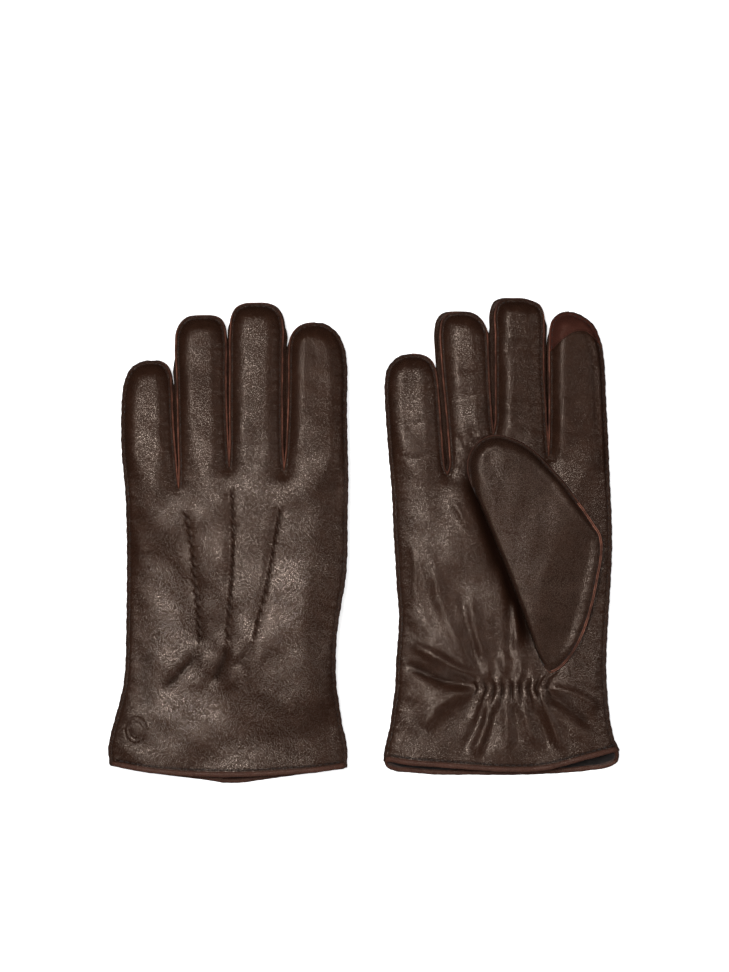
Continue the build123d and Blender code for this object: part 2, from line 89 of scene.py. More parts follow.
# ------------------------------------------------------------------ measured outlines, x and y in mm
# The upper leather's cut edge, one list a stretch: pinky with its outseam, ring, middle, index
# with its outseam, hem.
UPPER = {
    "left": {
        "pinky": [
            (-135.0, -121.0), (-135.6, -112.0), (-133.7, -102.4), (-130.5, -90.8),
            (-127.9, -80.2), (-126.4, -65.3), (-126.2, -54.7), (-125.9, -35.7), (-125.7, -12.3),
            (-125.7, 8.9), (-126.0, 22.6), (-126.7, 31.1), (-127.9, 43.3), (-128.4, 57.1),
            (-128.3, 68.2), (-127.1, 80.7), (-125.2, 86.4), (-121.3, 90.6), (-116.9, 92.4),
            (-113.0, 92.6), (-109.1, 92.4), (-105.9, 90.5), (-103.7, 86.5), (-102.6, 79.3),
            (-102.0, 66.6), (-101.2, 53.9), (-100.0, 40.7), (-99.1, 30.1), (-98.3, 25.5)],
        "ring": [
            (-98.3, 25.5), (-98.0, 34.3), (-98.4, 50.7), (-98.8, 66.6), (-99.4, 85.7),
            (-100.0, 101.6), (-99.3, 109.0), (-96.9, 113.3), (-93.1, 116.0), (-89.5, 116.5),
            (-85.5, 116.6), (-80.7, 116.4), (-77.4, 115.1), (-75.3, 111.9), (-74.1, 105.3),
            (-73.8, 85.7), (-73.4, 66.6), (-72.8, 53.9), (-72.1, 41.7), (-71.7, 36.9)],
        "middle": [
            (-71.7, 36.9), (-71.3, 43.3), (-71.3, 66.6), (-71.3, 88.4), (-71.2, 108.5),
            (-70.3, 116.8), (-67.8, 121.0), (-64.0, 122.8), (-58.2, 123.2), (-52.4, 123.0),
            (-48.1, 121.2), (-45.3, 117.5), (-43.8, 111.1), (-43.9, 99.0), (-44.0, 85.7),
            (-44.0, 66.6), (-43.7, 46.0), (-42.8, 35.1)],
        "index": [
            (-42.8, 35.1), (-41.7, 43.3), (-41.0, 53.9), (-40.5, 66.6), (-40.2, 85.7),
            (-40.1, 97.9), (-39.3, 105.0), (-36.9, 109.1), (-33.2, 111.7), (-27.3, 112.8),
            (-21.6, 112.1), (-17.1, 109.4), (-13.8, 105.4), (-11.7, 100.5), (-10.4, 93.7),
            (-10.0, 82.5), (-10.2, 73.0), (-10.0, 53.9), (-9.5, 30.1), (-9.9, 8.9),
            (-10.0, -8.6), (-11.0, -22.9), (-13.2, -35.7), (-15.5, -51.6), (-16.1, -65.3),
            (-15.7, -79.1), (-14.5, -87.6), (-12.6, -100.3), (-10.4, -109.9), (-10.1, -122.3)],
        "hem": [
            (-10.1, -122.3), (-24.0, -123.9), (-39.9, -125.2), (-70.3, -126.6),
            (-87.6, -126.4), (-105.5, -125.3), (-120.5, -123.5), (-135.0, -121.0)],
    },
    "right": {
        "pinky": [
            (10.1, -118.6), (11.4, -109.9), (13.1, -103.5), (14.2, -97.1), (15.2, -89.2),
            (16.3, -81.2), (17.0, -65.3), (17.9, -54.7), (18.4, -39.9), (17.4, -28.2),
            (16.5, -12.3), (15.5, 3.6), (15.0, 17.9), (14.2, 30.1), (13.1, 42.2), (12.0, 56.6),
            (11.1, 70.3), (10.9, 80.9), (11.8, 87.6), (14.2, 91.8), (17.9, 94.7), (22.1, 96.1),
            (26.9, 96.2), (31.1, 95.3), (34.5, 93.0), (36.6, 89.1), (37.9, 82.5), (38.7, 73.0),
            (39.9, 57.1), (40.9, 43.8), (41.9, 36.9), (43.5, 33.1)],
        "ring": [
            (43.5, 33.1), (44.9, 37.2), (44.8, 44.9), (43.9, 57.1), (42.8, 69.8), (41.3, 85.7),
            (40.3, 99.0), (40.0, 109.0), (41.3, 114.9), (43.9, 117.8), (48.1, 118.6),
            (51.8, 118.6), (55.8, 118.2), (60.4, 115.4), (63.7, 110.3), (64.7, 101.9),
            (65.3, 85.7), (66.0, 73.0), (66.9, 60.8), (67.8, 54.4)],
        "middle": [
            (67.8, 54.4), (69.0, 59.7), (69.2, 69.8), (69.2, 88.4), (69.2, 106.9),
            (69.5, 120.7), (70.9, 124.0), (73.7, 125.5), (78.5, 125.7), (84.1, 125.5),
            (88.4, 124.2), (91.9, 122.6), (93.9, 118.8), (94.4, 111.7), (94.2, 98.6),
            (94.4, 85.7), (95.1, 73.0), (96.0, 57.1), (97.1, 42.8)],
        "index": [
            (97.1, 42.8), (97.5, 51.3), (97.7, 66.6), (97.7, 85.7), (97.7, 102.7),
            (98.1, 110.1), (99.5, 114.6), (102.3, 117.4), (106.4, 118.6), (111.0, 118.2),
            (115.0, 116.2), (119.4, 113.3), (123.1, 107.0), (125.1, 100.0), (126.1, 92.1),
            (127.0, 73.0), (128.0, 53.9), (129.0, 30.1), (130.0, 8.9), (130.2, -4.4),
            (129.5, -22.9), (128.3, -41.5), (127.4, -57.4), (127.1, -70.6), (127.6, -81.2),
            (128.4, -90.8), (129.7, -100.3), (131.6, -107.7), (134.2, -113.3)],
        "hem": [
            (134.2, -113.3), (128.9, -114.6), (117.4, -117.4), (105.8, -120.6),
            (100.0, -122.2), (88.6, -123.9), (74.0, -124.0), (59.5, -123.1), (44.9, -122.0),
            (36.4, -121.3), (23.7, -120.4), (10.1, -118.6)],
    },
}
# x shift of the lower leather's edge on a finger's low-x side and on its high-x side
LOWER_SHIFT = {
    "left": {
        "pinky": (-0.3, 0.7), "ring": (-0.4, 0.5), "middle": (-0.3, 0.9), "index": (-0.2, 0.2)},
    "right": {
        "pinky": (-0.3, 0.3), "ring": (-2.9, 0.2), "middle": (-2.6, 0.2), "index": (0.3, 0.3)},
}
HEMS = {(glove, "upper"): UPPER[glove]["hem"] for glove in GLOVES}
HEMS["left", "lower"] = [
    (-10.2, -122.6), (-24.0, -125.0), (-35.1, -126.3), (-50.5, -128.4), (-70.3, -130.8),
    (-87.6, -128.7), (-105.5, -126.6), (-120.5, -124.4), (-135.0, -121.0)]
HEMS["right", "lower"] = [
    (135.3, -119.4), (128.6, -122.6), (117.4, -124.4), (100.0, -125.8), (82.0, -126.5),
    (55.5, -126.5), (34.3, -126.2), (23.7, -125.2), (15.7, -124.2), (9.9, -121.5)]
# where two fingers' edges meet, at the foot of each slot
CROTCHES = {g: [UPPER[g][finger][-1] for finger in FINGERS[:3]] for g in GLOVES}

# Palm relief on the right-hand glove: points, height, half width, then the share of the
# length over which the ends fade where it isn't the usual one.
PALM_FOLDS = [
    ([(23.7, -56.3), (35.4, -62.2), (48.1, -69.6), (59.7, -74.4)], 2.0, 3.0),
    ([(20.5, -67.5), (31.1, -71.7), (39.6, -75.4), (49.1, -77.5), (59.7, -78.6)], -2.2, 3.2),
    ([(57.6, -79.7), (47.5, -83.4), (39.6, -88.1), (30.6, -101.4)], 2.2, 5.0),
    ([(18.4, -86.5), (24.8, -95.0), (22.6, -108.8)], -0.8, 4.5),
    ([(78.3, -31.4), (79.7, -45.2), (80.1, -60.0)], 1.5, 2.2),
    ([(74.6, -33.5), (75.9, -49.4), (76.4, -65.3)], -0.9, 2.4),
    ([(69.8, -12.3), (73.5, -33.5), (74.0, -60.0)], 0.8, 3.0),
    ([(59.7, -86.5), (58.7, -90.8), (56.0, -98.2)], 0.8, 2.0),
    ([(66.4, -86.5), (62.9, -101.9), (57.1, -115.7)], 1.7, 2.6),
    ([(62.4, -88.7), (58.7, -100.3), (51.8, -113.0)], -1.0, 2.8),
    ([(69.3, -88.7), (67.2, -100.3), (62.9, -114.1)], -0.9, 2.4),
    ([(74.3, -86.5), (74.7, -97.1), (75.5, -113.0)], 1.2, 2.4),
    ([(78.8, -87.6), (79.9, -98.2), (81.5, -109.9)], -0.9, 2.0),
    ([(83.1, -87.6), (85.7, -98.2), (89.4, -109.9)], 1.0, 2.0),
    ([(90.7, -81.2), (94.2, -88.7), (97.6, -96.1), (104.3, -113.0)], 1.9, 2.3),
    ([(87.8, -88.7), (93.1, -100.3), (97.4, -113.0)], -1.2, 2.2),
    ([(101.1, -69.6), (96.3, -73.8), (92.7, -79.1)], 1.6, 1.4),
    ([(96.1, -79.7), (104.3, -81.2), (111.7, -83.4), (124.4, -91.3)], 1.9, 3.0),
    ([(94.4, -81.5), (100.5, -85.5), (106.4, -89.2), (121.2, -100.9)], -2.0, 3.0),
    ([(96.8, -86.5), (106.4, -98.2), (115.9, -106.7)], 0.8, 4.0),
    ([(55.5, 47.0), (59.7, 30.1), (65.6, 13.1), (71.4, -3.3), (77.2, -19.2), (82.5, -35.1),
      (87.8, -51.0), (93.1, -62.7)], -4.6, 7.6),
    ([(35.4, -12.3), (39.6, -33.5), (46.0, -50.5), (54.4, -67.5)], 0.9, 3.2),
    ([(29.0, -12.3), (33.2, -33.5), (39.6, -52.6)], -0.6, 4.0),
    ([(55.5, -33.5), (58.7, -50.5), (64.0, -69.6)], 0.9, 2.6),
    ([(50.2, -28.2), (53.9, -46.8), (59.7, -68.0)], -0.8, 2.4),
    ([(23.2, -1.7), (25.8, -12.3), (25.3, -33.5)], 0.6, 1.6),
    ([(46.0, 19.5), (49.7, 13.1), (54.4, 3.6)], 0.7, 1.4),
    ([(24.8, 19.5), (27.9, -1.7), (31.1, -33.5)], 0.5, 8.0),
    ([(21.0, -1.7), (33.2, -4.4), (42.8, -12.3)], -0.25, 3.0),
    ([(109.0, -39.9), (107.4, -60.0), (106.4, -73.8)], 0.5, 5.0),
    ([(120.7, -12.3), (119.1, -33.5), (112.7, -60.0)], -0.5, 3.5),
    ([(111.7, 113.8), (115.4, 109.6), (118.0, 103.2), (120.2, 92.6), (122.0, 77.8),
      (122.5, 56.6)], -0.35, 1.4),
    ([(49.1, 87.3), (55.5, 86.2), (61.9, 87.8)], -0.35, 1.2),
    ([(47.5, 76.7), (54.4, 74.6), (62.9, 76.2)], -0.3, 1.4),
    ([(48.1, 55.5), (51.3, 48.1), (57.6, 41.7)], -0.7, 1.8),
    ([(55.5, 59.2), (58.7, 51.3), (64.0, 44.9)], -0.6, 1.6),
    ([(51.3, 51.3), (54.4, 44.9), (60.8, 39.6)], 0.6, 1.4),
    ([(73.0, 97.9), (82.0, 101.1), (91.5, 99.5)], -0.8, 3.5),
    ([(71.4, 73.5), (80.9, 70.3), (92.6, 72.5)], -0.35, 1.6),
    ([(14.2, 61.9), (23.7, 59.2), (34.3, 61.9)], -0.25, 1.6),
    ([(15.2, 43.3), (24.8, 41.2), (37.5, 44.9)], -0.3, 1.6),
    ([(101.1, 76.7), (111.1, 73.5), (121.2, 76.7)], -0.3, 1.3),
    ([(101.1, 56.6), (110.6, 52.8), (123.3, 55.5)], -0.3, 1.3),
    ([(74.0, 59.2), (83.1, 55.5), (93.7, 53.4)], 0.4, 2.4),
    # the sunk band over the wrist elastic
    ([(59.7, -79.4), (67.2, -79.9), (76.7, -80.2), (86.2, -80.2), (95.2, -79.7)],
     -1.5, 3.6, 0.2),
]
# a ridge close to the palm's outseam, same columns
EDGE_FOLDS = [
    ([(111.7, 116.4), (115.8, 113.1), (119.1, 108.5), (121.1, 103.1), (123.0, 93.9),
      (124.3, 78.0), (124.8, 62.9), (126.2, 40.7), (126.8, 19.5)], 0.75, 0.85),
]
# folds of the thumb's outer leather on the right-hand glove, same columns
THUMB_FOLDS = [
    ([(64.5, 44.9), (67.2, 37.5), (71.4, 30.1)], -0.5, 3.0),
    ([(86.2, -12.3), (96.8, -33.5), (101.1, -54.7)], 0.4, 6.0),
]
# Puffs gathered by the wrist elastic: x, height, reach above and reach below the elastic.
GATHERS = [
    (62.7, 1.6, 4.4, 7.5), (65.9, 1.3, 3.4, 5.0), (70.4, 1.9, 5.6, 9.5), (74.9, 1.4, 3.6, 5.5),
    (79.4, 1.8, 5.0, 8.0), (83.9, 1.5, 3.8, 6.0), (87.8, 2.0, 5.2, 9.0), (92.3, 1.7, 4.2, 7.0)]
GATHER_Y = -80.2
GATHER_FAN_X = 77.2                    # the gathers fan out from this x
# Single round puffs: x, y, half width, half length, height.
PUFFS = [
    (73.5, -68.0, 3.0, 5.6, 1.7), (82.3, -70.6, 2.8, 4.8, 1.6),
    (65.0, -69.6, 2.8, 5.0, 0.9), (87.8, -72.8, 2.2, 4.0, 0.8)]
# Back relief on the left-hand glove: points, height, half width.
BACK_FOLDS = [
    ([(-87.6, -57.9), (-91.3, -65.3), (-98.2, -72.8), (-107.2, -82.3)], -1.1, 2.8),
    ([(-84.4, -60.0), (-85.5, -69.6), (-89.7, -81.2)], 0.7, 3.4),
    ([(-72.8, -57.4), (-74.9, -65.3), (-80.7, -78.1)], -1.2, 2.4),
    ([(-68.5, -59.0), (-69.6, -69.6), (-72.8, -81.2)], 0.7, 3.4),
    ([(-58.5, -55.3), (-62.2, -61.1), (-69.1, -69.6)], -0.8, 2.4),
    ([(-54.7, -57.4), (-56.9, -66.4), (-61.1, -78.1)], 0.5, 3.4),
    ([(-114.1, -54.7), (-116.2, -75.9), (-114.1, -95.0)], -0.8, 7.0),
    ([(-34.6, -12.3), (-31.4, -44.1), (-34.6, -81.2)], 0.6, 9.0),
    ([(-25.1, -12.3), (-23.5, -38.8), (-24.0, -65.3)], -0.5, 5.0),
    ([(-79.1, -86.5), (-66.4, -95.0), (-45.2, -98.2)], 0.5, 8.0),
    ([(-130.0, -108.8), (-122.6, -114.1), (-108.8, -117.3)], 0.5, 4.0),
    ([(-117.3, 31.1), (-108.8, 19.5), (-100.3, 13.1)], -0.3, 5.0),
    ([(-13.4, 30.1), (-18.7, 8.9), (-17.6, -12.3)], -0.4, 5.0),
]
OVAL_CENTRE = (-121.3, -102.4)         # sunk oval near the left-hand glove's cuff

# from a place on the left-hand glove's back to the same place on the right-hand glove's
BACK_SHIFT = np.array([139.125, 5.3])
# from a place on the right-hand glove's palm to the same place on the left-hand glove's
PALM_SHIFT = np.array([-139.125, -6.9])
# the three rows of raised stitching on the back
BACK_ROWS = {"left": [np.array(row) for row in (
    [(-95.3, 15.2), (-93.2, 4.6), (-91.9, -2.3), (-90.1, -21.9), (-88.5, -36.2),
     (-88.0, -47.3), (-87.7, -57.4)],
    [(-70.5, 26.9), (-70.0, 14.2), (-69.7, -2.3), (-70.5, -21.9), (-71.6, -36.2),
     (-72.3, -44.7), (-72.8, -57.4)],
    [(-44.4, 17.3), (-46.0, 7.8), (-47.8, -2.3), (-50.7, -19.2), (-54.6, -36.7),
     (-57.0, -44.7), (-58.7, -55.3)],
)]}
BACK_ROWS["right"] = [row + BACK_SHIFT for row in BACK_ROWS["left"]]
ROW_OFFSETS = (-2.1, -1.5, -1.0, -0.5, 0.0, 0.5, 0.95, 1.4, 1.9, 2.5)  # mesh lines along a row
THUMB = {"right": np.array([
    (124.7, -4.4), (123.6, 1.4), (120.2, 6.7), (115.4, 13.9), (110.1, 21.0), (104.5, 28.5),
    (98.4, 35.4), (94.2, 40.1), (88.4, 45.4), (82.5, 49.4), (76.2, 52.0), (70.3, 53.4),
    (65.3, 52.9), (60.7, 50.7), (56.9, 46.7), (54.6, 41.7), (54.0, 36.4), (54.9, 31.1),
    (56.8, 25.8), (59.3, 19.5), (64.0, 8.3), (69.5, -5.2), (75.4, -19.8), (80.9, -34.6),
    (86.5, -50.0), (90.7, -61.1), (94.2, -68.0), (97.5, -71.2), (101.3, -69.6),
    (106.4, -64.8), (111.4, -57.4), (115.9, -47.3), (119.6, -35.1), (122.5, -20.8),
    (124.4, -10.2)])}
THUMB["left"] = THUMB["right"] + PALM_SHIFT
# the stretch of the thumb's edge that is a soft fold: its first, last and one inner THUMB point
THUMB_SOFT = (18, 26, 22)
# lower edge of the touch patch on the index fingertip
TOUCH = {"right": np.array([
    (95.2, 96.0), (97.4, 97.9), (99.3, 99.7), (102.4, 103.1), (105.8, 106.0), (109.6, 108.3),
    (113.7, 109.1), (117.1, 108.7), (119.4, 107.1), (122.3, 104.3), (127.6, 99.0)])}
TOUCH["left"] = TOUCH["right"] + PALM_SHIFT + (0, 1.3)
# how steeply each finger's upper leather tilts in x: pinky, ring, middle, index
ROLL = {"left": (0.02, 0.06, 0.02, 0.09), "right": (0.02, 0.01, 0.12, 0.165)}
# Thumb heights: middle plane, outer half height at the root, its gain towards the tip,
# inner half height, sink of the middle plane at the root.
THUMB_HEIGHTS = {"right": (16.3, 2.2, 3.1, 2.75, 0.9), "left": (3.75, 1.8, 1.3, 3.4, 0.0)}
THUMB_BEND = 26                        # distance from the thumb seam over which it joins the hand

# ------------------------------------------------------------------ joints of the frame, mm
KNUCKLE, MIDDLE, THUMB_AXIS = {}, {}, {}     # THUMB_AXIS: a point, and the way away from the seam
for joint in frame["joints"]:
    owner, _, rest = joint["name"].partition("_")
    finger_name, _, joint_kind = rest.partition("_")
    if finger_name in FINGERS and "pos_m" in joint:
        table = KNUCKLE if joint_kind == "knuckle" else MIDDLE
        table[owner, finger_name] = [c * 1000 for c in joint["pos_m"][:2]]
    if joint["name"].endswith("thumb_seam"):
        axis = np.array(joint["axis"][:2], float)
        axis = axis if axis[1] > 0 else -axis
        THUMB_AXIS[owner] = (np.array(joint["pos_m"][:2]) * 1000, np.array([-axis[1], axis[0]]))


def limb(glove, number):
    """Heights where a finger starts to bend, where it is cut in two, and where it is all tip."""
    knuckle = KNUCKLE[glove, FINGERS[number]][1]
    middle = MIDDLE[glove, FINGERS[number]][1]
    slot_foot = max(y for _, y in CROTCHES[glove][max(number - 1, 0):number + 1])
    return max(knuckle - 12, slot_foot + 0.7), (knuckle + middle) / 2, middle + 12


LIMBS = {(g, finger): limb(g, n) for g in GLOVES for n, finger in enumerate(FINGERS)}


# ------------------------------------------------------------------ curves
def ease(t):
    """Smooth step from 0 to 1."""
    t = np.clip(t, 0, 1)
    return t * t * (3 - 2 * t)


def bell(offset, width):
    return np.exp(-((offset / width) ** 2))


def lengths(points):
    """Length along a polyline at each of its points."""
    return np.concatenate([[0], np.cumsum(np.linalg.norm(np.diff(points, axis=0), axis=1))])


def sample(points, at, run):
    """A polyline read off at given lengths, where run is the length at each of its points."""
    return np.stack([np.interp(at, run, column) for column in points.T], axis=1)


def unit(vectors, tiny=0.0):
    return vectors / (np.linalg.norm(vectors, axis=1)[:, None] + tiny)


def smooth(values, reach, mode):
    """Running mean; mode is how the ends are padded."""
    count = 2 * reach + 1
    return np.convolve(np.pad(values, reach, mode=mode), np.ones(count) / count, "valid")


def spline(knots, step=STEP):
    """A smooth curve through the knots, resampled at an even step."""
    knots = np.array(knots, float)
    if len(knots) == 2:
        span = knots[1] - knots[0]
        count = max(1, int(round(np.linalg.norm(span) / step)))
        return knots[0] + span * np.linspace(0, 1, count + 1)[:, None]
    run = lengths(knots)
    gaps = np.diff(run)[:, None]
    rates = np.diff(knots, axis=0) / gaps
    slope = np.zeros_like(knots)
    slope[1:-1] = (rates[:-1] * gaps[1:] + rates[1:] * gaps[:-1]) / (gaps[:-1] + gaps[1:])
    slope[0], slope[-1] = rates[0], rates[-1]
    fine = np.linspace(0, run[-1], max(3, int(run[-1] / 0.1)))
    k = np.clip(np.searchsorted(run, fine, side="right") - 1, 0, len(knots) - 2)
    gap = gaps[k]
    s = (fine - run[k])[:, None] / gap
    curve = ((2 * s**3 - 3 * s**2 + 1) * knots[k] + (s**3 - 2 * s**2 + s) * gap * slope[k]
             + (-2 * s**3 + 3 * s**2) * knots[k + 1] + (s**3 - s**2) * gap * slope[k + 1])
    run = lengths(curve)
    count = max(2, int(round(run[-1] / step)))
    return sample(curve, np.linspace(0, run[-1], count + 1), run)


def line_distance(points, line):
    """Distance from each point to a polyline, the length along it and the side (+1 is left of
    travel) at the nearest place, and the polyline's whole length."""
    line = np.asarray(line, float)
    run = lengths(line)
    best = np.full(len(points), 1e9)
    along = np.zeros(len(points))
    side = np.zeros(len(points))
    for i, segment in enumerate(np.diff(line, axis=0)):
        length = np.linalg.norm(segment)
        offset = points - line[i]
        share = np.clip((offset @ segment) / (length ** 2 + 1e-12), 0, 1)
        distance = np.hypot(*(offset - share[:, None] * segment).T)
        near = distance < best
        best[near] = distance[near]
        along[near] = run[i] + share[near] * length
        turn = segment[0] * offset[:, 1] - segment[1] * offset[:, 0]
        side[near] = np.sign(turn[near])
    return best, along, side, run[-1]


def fold(points, knots, height, width, fade=0.3):
    """Height of one soft ridge or crease at each point."""
    line = spline(knots, 2.0)
    low, high = line.min(0) - 3 * width, line.max(0) + 3 * width
    near = np.all((points > low) & (points < high), axis=1)
    distance, along, _, total = line_distance(points[near], line)
    share = along / total
    taper = ease(share / fade + 0.25) * ease((1 - share) / fade + 0.25)
    heights = np.zeros(len(points))
    heights[near] = height * bell(distance, width) * taper
    return heights


def folds(points, table):
    return sum(fold(points, *entry) for entry in table)


def waves(points, seed, sizes, height):
    """A smooth sum of waves in all directions: soft unevenness of hand-sewn leather."""
    rng = np.random.default_rng(seed)
    total = np.zeros(len(points))
    for size in sizes:
        for _ in range(5):
            angle, phase = rng.uniform(0, 2 * math.pi, 2)
            rate = 2 * math.pi / (size * rng.uniform(0.75, 1.35))
            across = points[:, 0] * math.cos(angle) + points[:, 1] * math.sin(angle)
            total += np.sin(across * rate + phase) * (size / sizes[-1])
    return total * height / math.sqrt(5 * len(sizes) / 2)


# ------------------------------------------------------------------ outlines
def clockwise(points):
    x, y = points.T
    return np.sum(x * np.roll(y, -1) - np.roll(x, -1) * y) < 0


def outward(points):
    """Unit vectors out of a counterclockwise outline."""
    forward = unit(np.roll(points, -1, 0) - np.roll(points, 1, 0), 1e-9)
    return np.stack([forward[:, 1], -forward[:, 0]], 1)


class Outline:
    """A closed counterclockwise cut edge. Each point has the outward direction, the half height
    of the glove, the stretch number, and how far the leather is a soft fold instead of a cut."""

    def __init__(self, points, out, edge, kind, soft=None):
        self.points, self.out, self.edge, self.kind = points, out, edge, kind
        self.soft = np.zeros(len(points)) if soft is None else soft
        self.run = lengths(points)
        self.whole_tree = self.tree(np.arange(len(points)))
        self.seam_tree = self.tree(np.where(kind != HEM)[0])

    def tree(self, ids):
        tree = kdtree.KDTree(len(ids))
        for i in ids:
            tree.insert((*self.points[i], 0), int(i))
        tree.balance()
        return tree

    def nearest(self, points, seam_only=False):
        """Distance to the edge, the nearest edge point, and the length along the edge."""
        tree = self.seam_tree if seam_only else self.whole_tree
        near = np.array([tree.find((x, y, 0))[1] for x, y in points], int)
        best = np.full(len(points), 1e9)
        along = np.zeros(len(points))
        count = len(self.points)
        for step in (-1, 0):
            first = (near + step) % count
            start = self.points[first]
            span = self.points[(near + step + 1) % count] - start
            share = np.sum((points - start) * span, 1) / (np.sum(span * span, 1) + 1e-12)
            share = np.clip(share, 0, 1)
            distance = np.hypot(*(points - start - share[:, None] * span).T)
            closer = distance < best
            best[closer] = distance[closer]
            length = self.run[first] + share * np.linalg.norm(span, axis=1)
            along[closer] = length[closer]
        return best, near, along

    def crossing(self, y, kind):
        """Lowest and highest x at which one stretch crosses a height."""
        start, end = self.points, np.roll(self.points, -1, 0)
        hit = ((start[:, 1] > y) != (end[:, 1] > y)) & (self.kind == kind)
        start, end = start[hit], end[hit]
        x = start[:, 0] + ((y - start[:, 1]) * (end[:, 0] - start[:, 0])
                           / (end[:, 1] - start[:, 1]))
        return x.min(), x.max()

    def inside(self, points, batch=1500):
        start, end = self.points, np.roll(self.points, -1, 0)
        rise = end[:, 1] - start[:, 1]
        rise = np.where(np.abs(rise) < 1e-12, 1e-12, rise)
        found = np.zeros(len(points), bool)
        for i in range(0, len(points), batch):
            x, y = points[i:i + batch].T[..., None]
            crosses = (start[:, 1] > y) != (end[:, 1] > y)
            edge_x = start[:, 0] + (y - start[:, 1]) * (end[:, 0] - start[:, 0]) / rise
            found[i:i + batch] = np.sum(crosses & (x < edge_x), axis=1) % 2 == 1
        return found


def glove_outline(finger_curves, hem):
    points, edge, kind = [], [], []
    for n, knots in enumerate([*finger_curves, hem]):
        curve = spline(knots)
        half = np.full(len(curve), EDGE_OUT)
        if n < len(FINGERS):
            top = np.argmax(curve[:, 1])
            fade = 1 - ease((curve[:, 1] - (curve[top, 1] - 17)) / 13)
            half = EDGE_TIP + (EDGE_SLOT - EDGE_TIP) * fade
            if FINGERS[n] == "pinky":
                half[:top] = EDGE_OUT
            if FINGERS[n] == "index":
                half[top:] = EDGE_OUT
        points.append(curve[:-1])
        edge.append(half[:-1])
        kind.append(np.full(len(curve) - 1, n if n < len(FINGERS) else HEM))
    points, edge, kind = (np.concatenate(parts) for parts in (points, edge, kind))
    if clockwise(points):
        points, edge, kind = points[::-1], edge[::-1], kind[::-1]
    # the outseams are faintly scalloped by the stitches
    angle = np.arange(len(points)) * STEP * 2 * math.pi
    scallop = 0.09 * np.cos(angle / 4.0) + 0.10 * np.cos(angle / 9.7 + 1)
    scallop = scallop * (edge < EDGE_OUT + 0.05) * (kind != HEM)
    out = outward(points)
    points = points + out * scallop[:, None]
    even = edge                        # no steps in the half height along the edge
    for _ in range(3):
        even = smooth(even, 7, "wrap")
    return Outline(points, out, np.where(kind == HEM, edge, even), kind)


def root_distance(curve, finger):
    """Distance from each point of a finger's edge to the foot of its nearest slot."""
    first = 99 if finger == "pinky" else np.linalg.norm(curve - curve[0], axis=1)
    last = 99 if finger == "index" else np.linalg.norm(curve - curve[-1], axis=1)
    return np.minimum(first, last)


def lower_stretch(glove, finger):
    """The lower leather's edge: the upper one's, moved a little on each side of the fingertip."""
    curve = spline(UPPER[glove][finger], 2.0)
    low_x, high_x = LOWER_SHIFT[glove][finger]
    top = np.argmax(curve[:, 1])
    top_x, top_y = curve[top]
    weight = ease((curve[:, 0] - (top_x - 8)) / 16)
    if finger == "pinky":
        weight[:top] = 0.0
    if finger == "index":
        weight[top + 1:] = 1.0
    root = ease(root_distance(curve, finger) / 26)
    curve[:, 0] += (low_x * (1 - weight) + high_x * weight) * root
    curve[:, 1] += 0.35 * ease((curve[:, 1] - (top_y - 10)) / 10)
    return curve


def lower_outline(glove):
    curves = [lower_stretch(glove, finger) for finger in FINGERS]
    for before, after in zip(curves, curves[1:]):      # the finger roots still meet
        meeting = (before[-1] + after[0]) / 2
        before[-1] = meeting
        after[0] = meeting
    hem = np.array(HEMS[glove, "lower"], float)
    hem[0], hem[-1] = curves[-1][-1], curves[0][0]
    return glove_outline(curves, hem)


def thumb_outline(glove):
    knots = THUMB[glove]
    points = spline([*knots, knots[0]])[:-1]
    if clockwise(points):
        points = points[::-1]
    first, last, within = (
        np.argmin(np.hypot(*(points - knots[i]).T)) for i in THUMB_SOFT)
    count = len(points)
    on_fold = (np.arange(count) - min(first, last)) % count <= abs(last - first)
    if not on_fold[within]:
        on_fold = ~on_fold
    soft = on_fold.astype(float)
    for _ in range(2):
        soft = smooth(soft, 8, "wrap")
    return Outline(points, outward(points), EDGE_OUT * (1 - soft), np.zeros(count, int), soft)


OUTLINES, THUMB_OUTLINES = {}, {}
for glove_name in GLOVES:
    upper_curves = [UPPER[glove_name][finger] for finger in FINGERS]
    OUTLINES[glove_name, "upper"] = glove_outline(upper_curves, HEMS[glove_name, "upper"])
    OUTLINES[glove_name, "lower"] = lower_outline(glove_name)
    THUMB_OUTLINES[glove_name] = thumb_outline(glove_name)


# ------------------------------------------------------------------ relief and height
def face_of(glove, layer):
    """Which leather the upper or lower layer is."""
    return "palm" if (glove == "right") == (layer == "upper") else "back"


def on_palm(glove, points):
    """Points moved to where the palm tables are measured."""
    return points - PALM_SHIFT if glove == "left" else points


def gathers(points):
    """Leather puckered by the wrist elastic: height of the puffs, and the painted shade in the
    creases between them.
    """
    centres, height, above, below = np.array(GATHERS).T
    last = len(centres) - 1
    rise = points[:, 1] - GATHER_Y
    x = (points[:, 0] - GATHER_FAN_X) / (1 + 0.028 * np.abs(rise)) + GATHER_FAN_X
    stops = [centres[0] - 8.0, *centres, centres[-1] + 8.0]
    cell = np.interp(x, stops, np.arange(-1, last + 2))
    near = np.clip(np.round(cell), 0, last).astype(int)
    offset = np.clip(2 * np.abs(cell - near), 0, 1)
    fade = bell(np.maximum(rise, 0), above[near]) * bell(np.maximum(-rise, 0), below[near])
    within = (cell > -0.5) & (cell < last + 0.5)
    puff = np.where(within, height[near] * fade * (1 - offset ** 2.2), 0)
    return puff, np.where(within, fade * offset ** 2.6, 0)


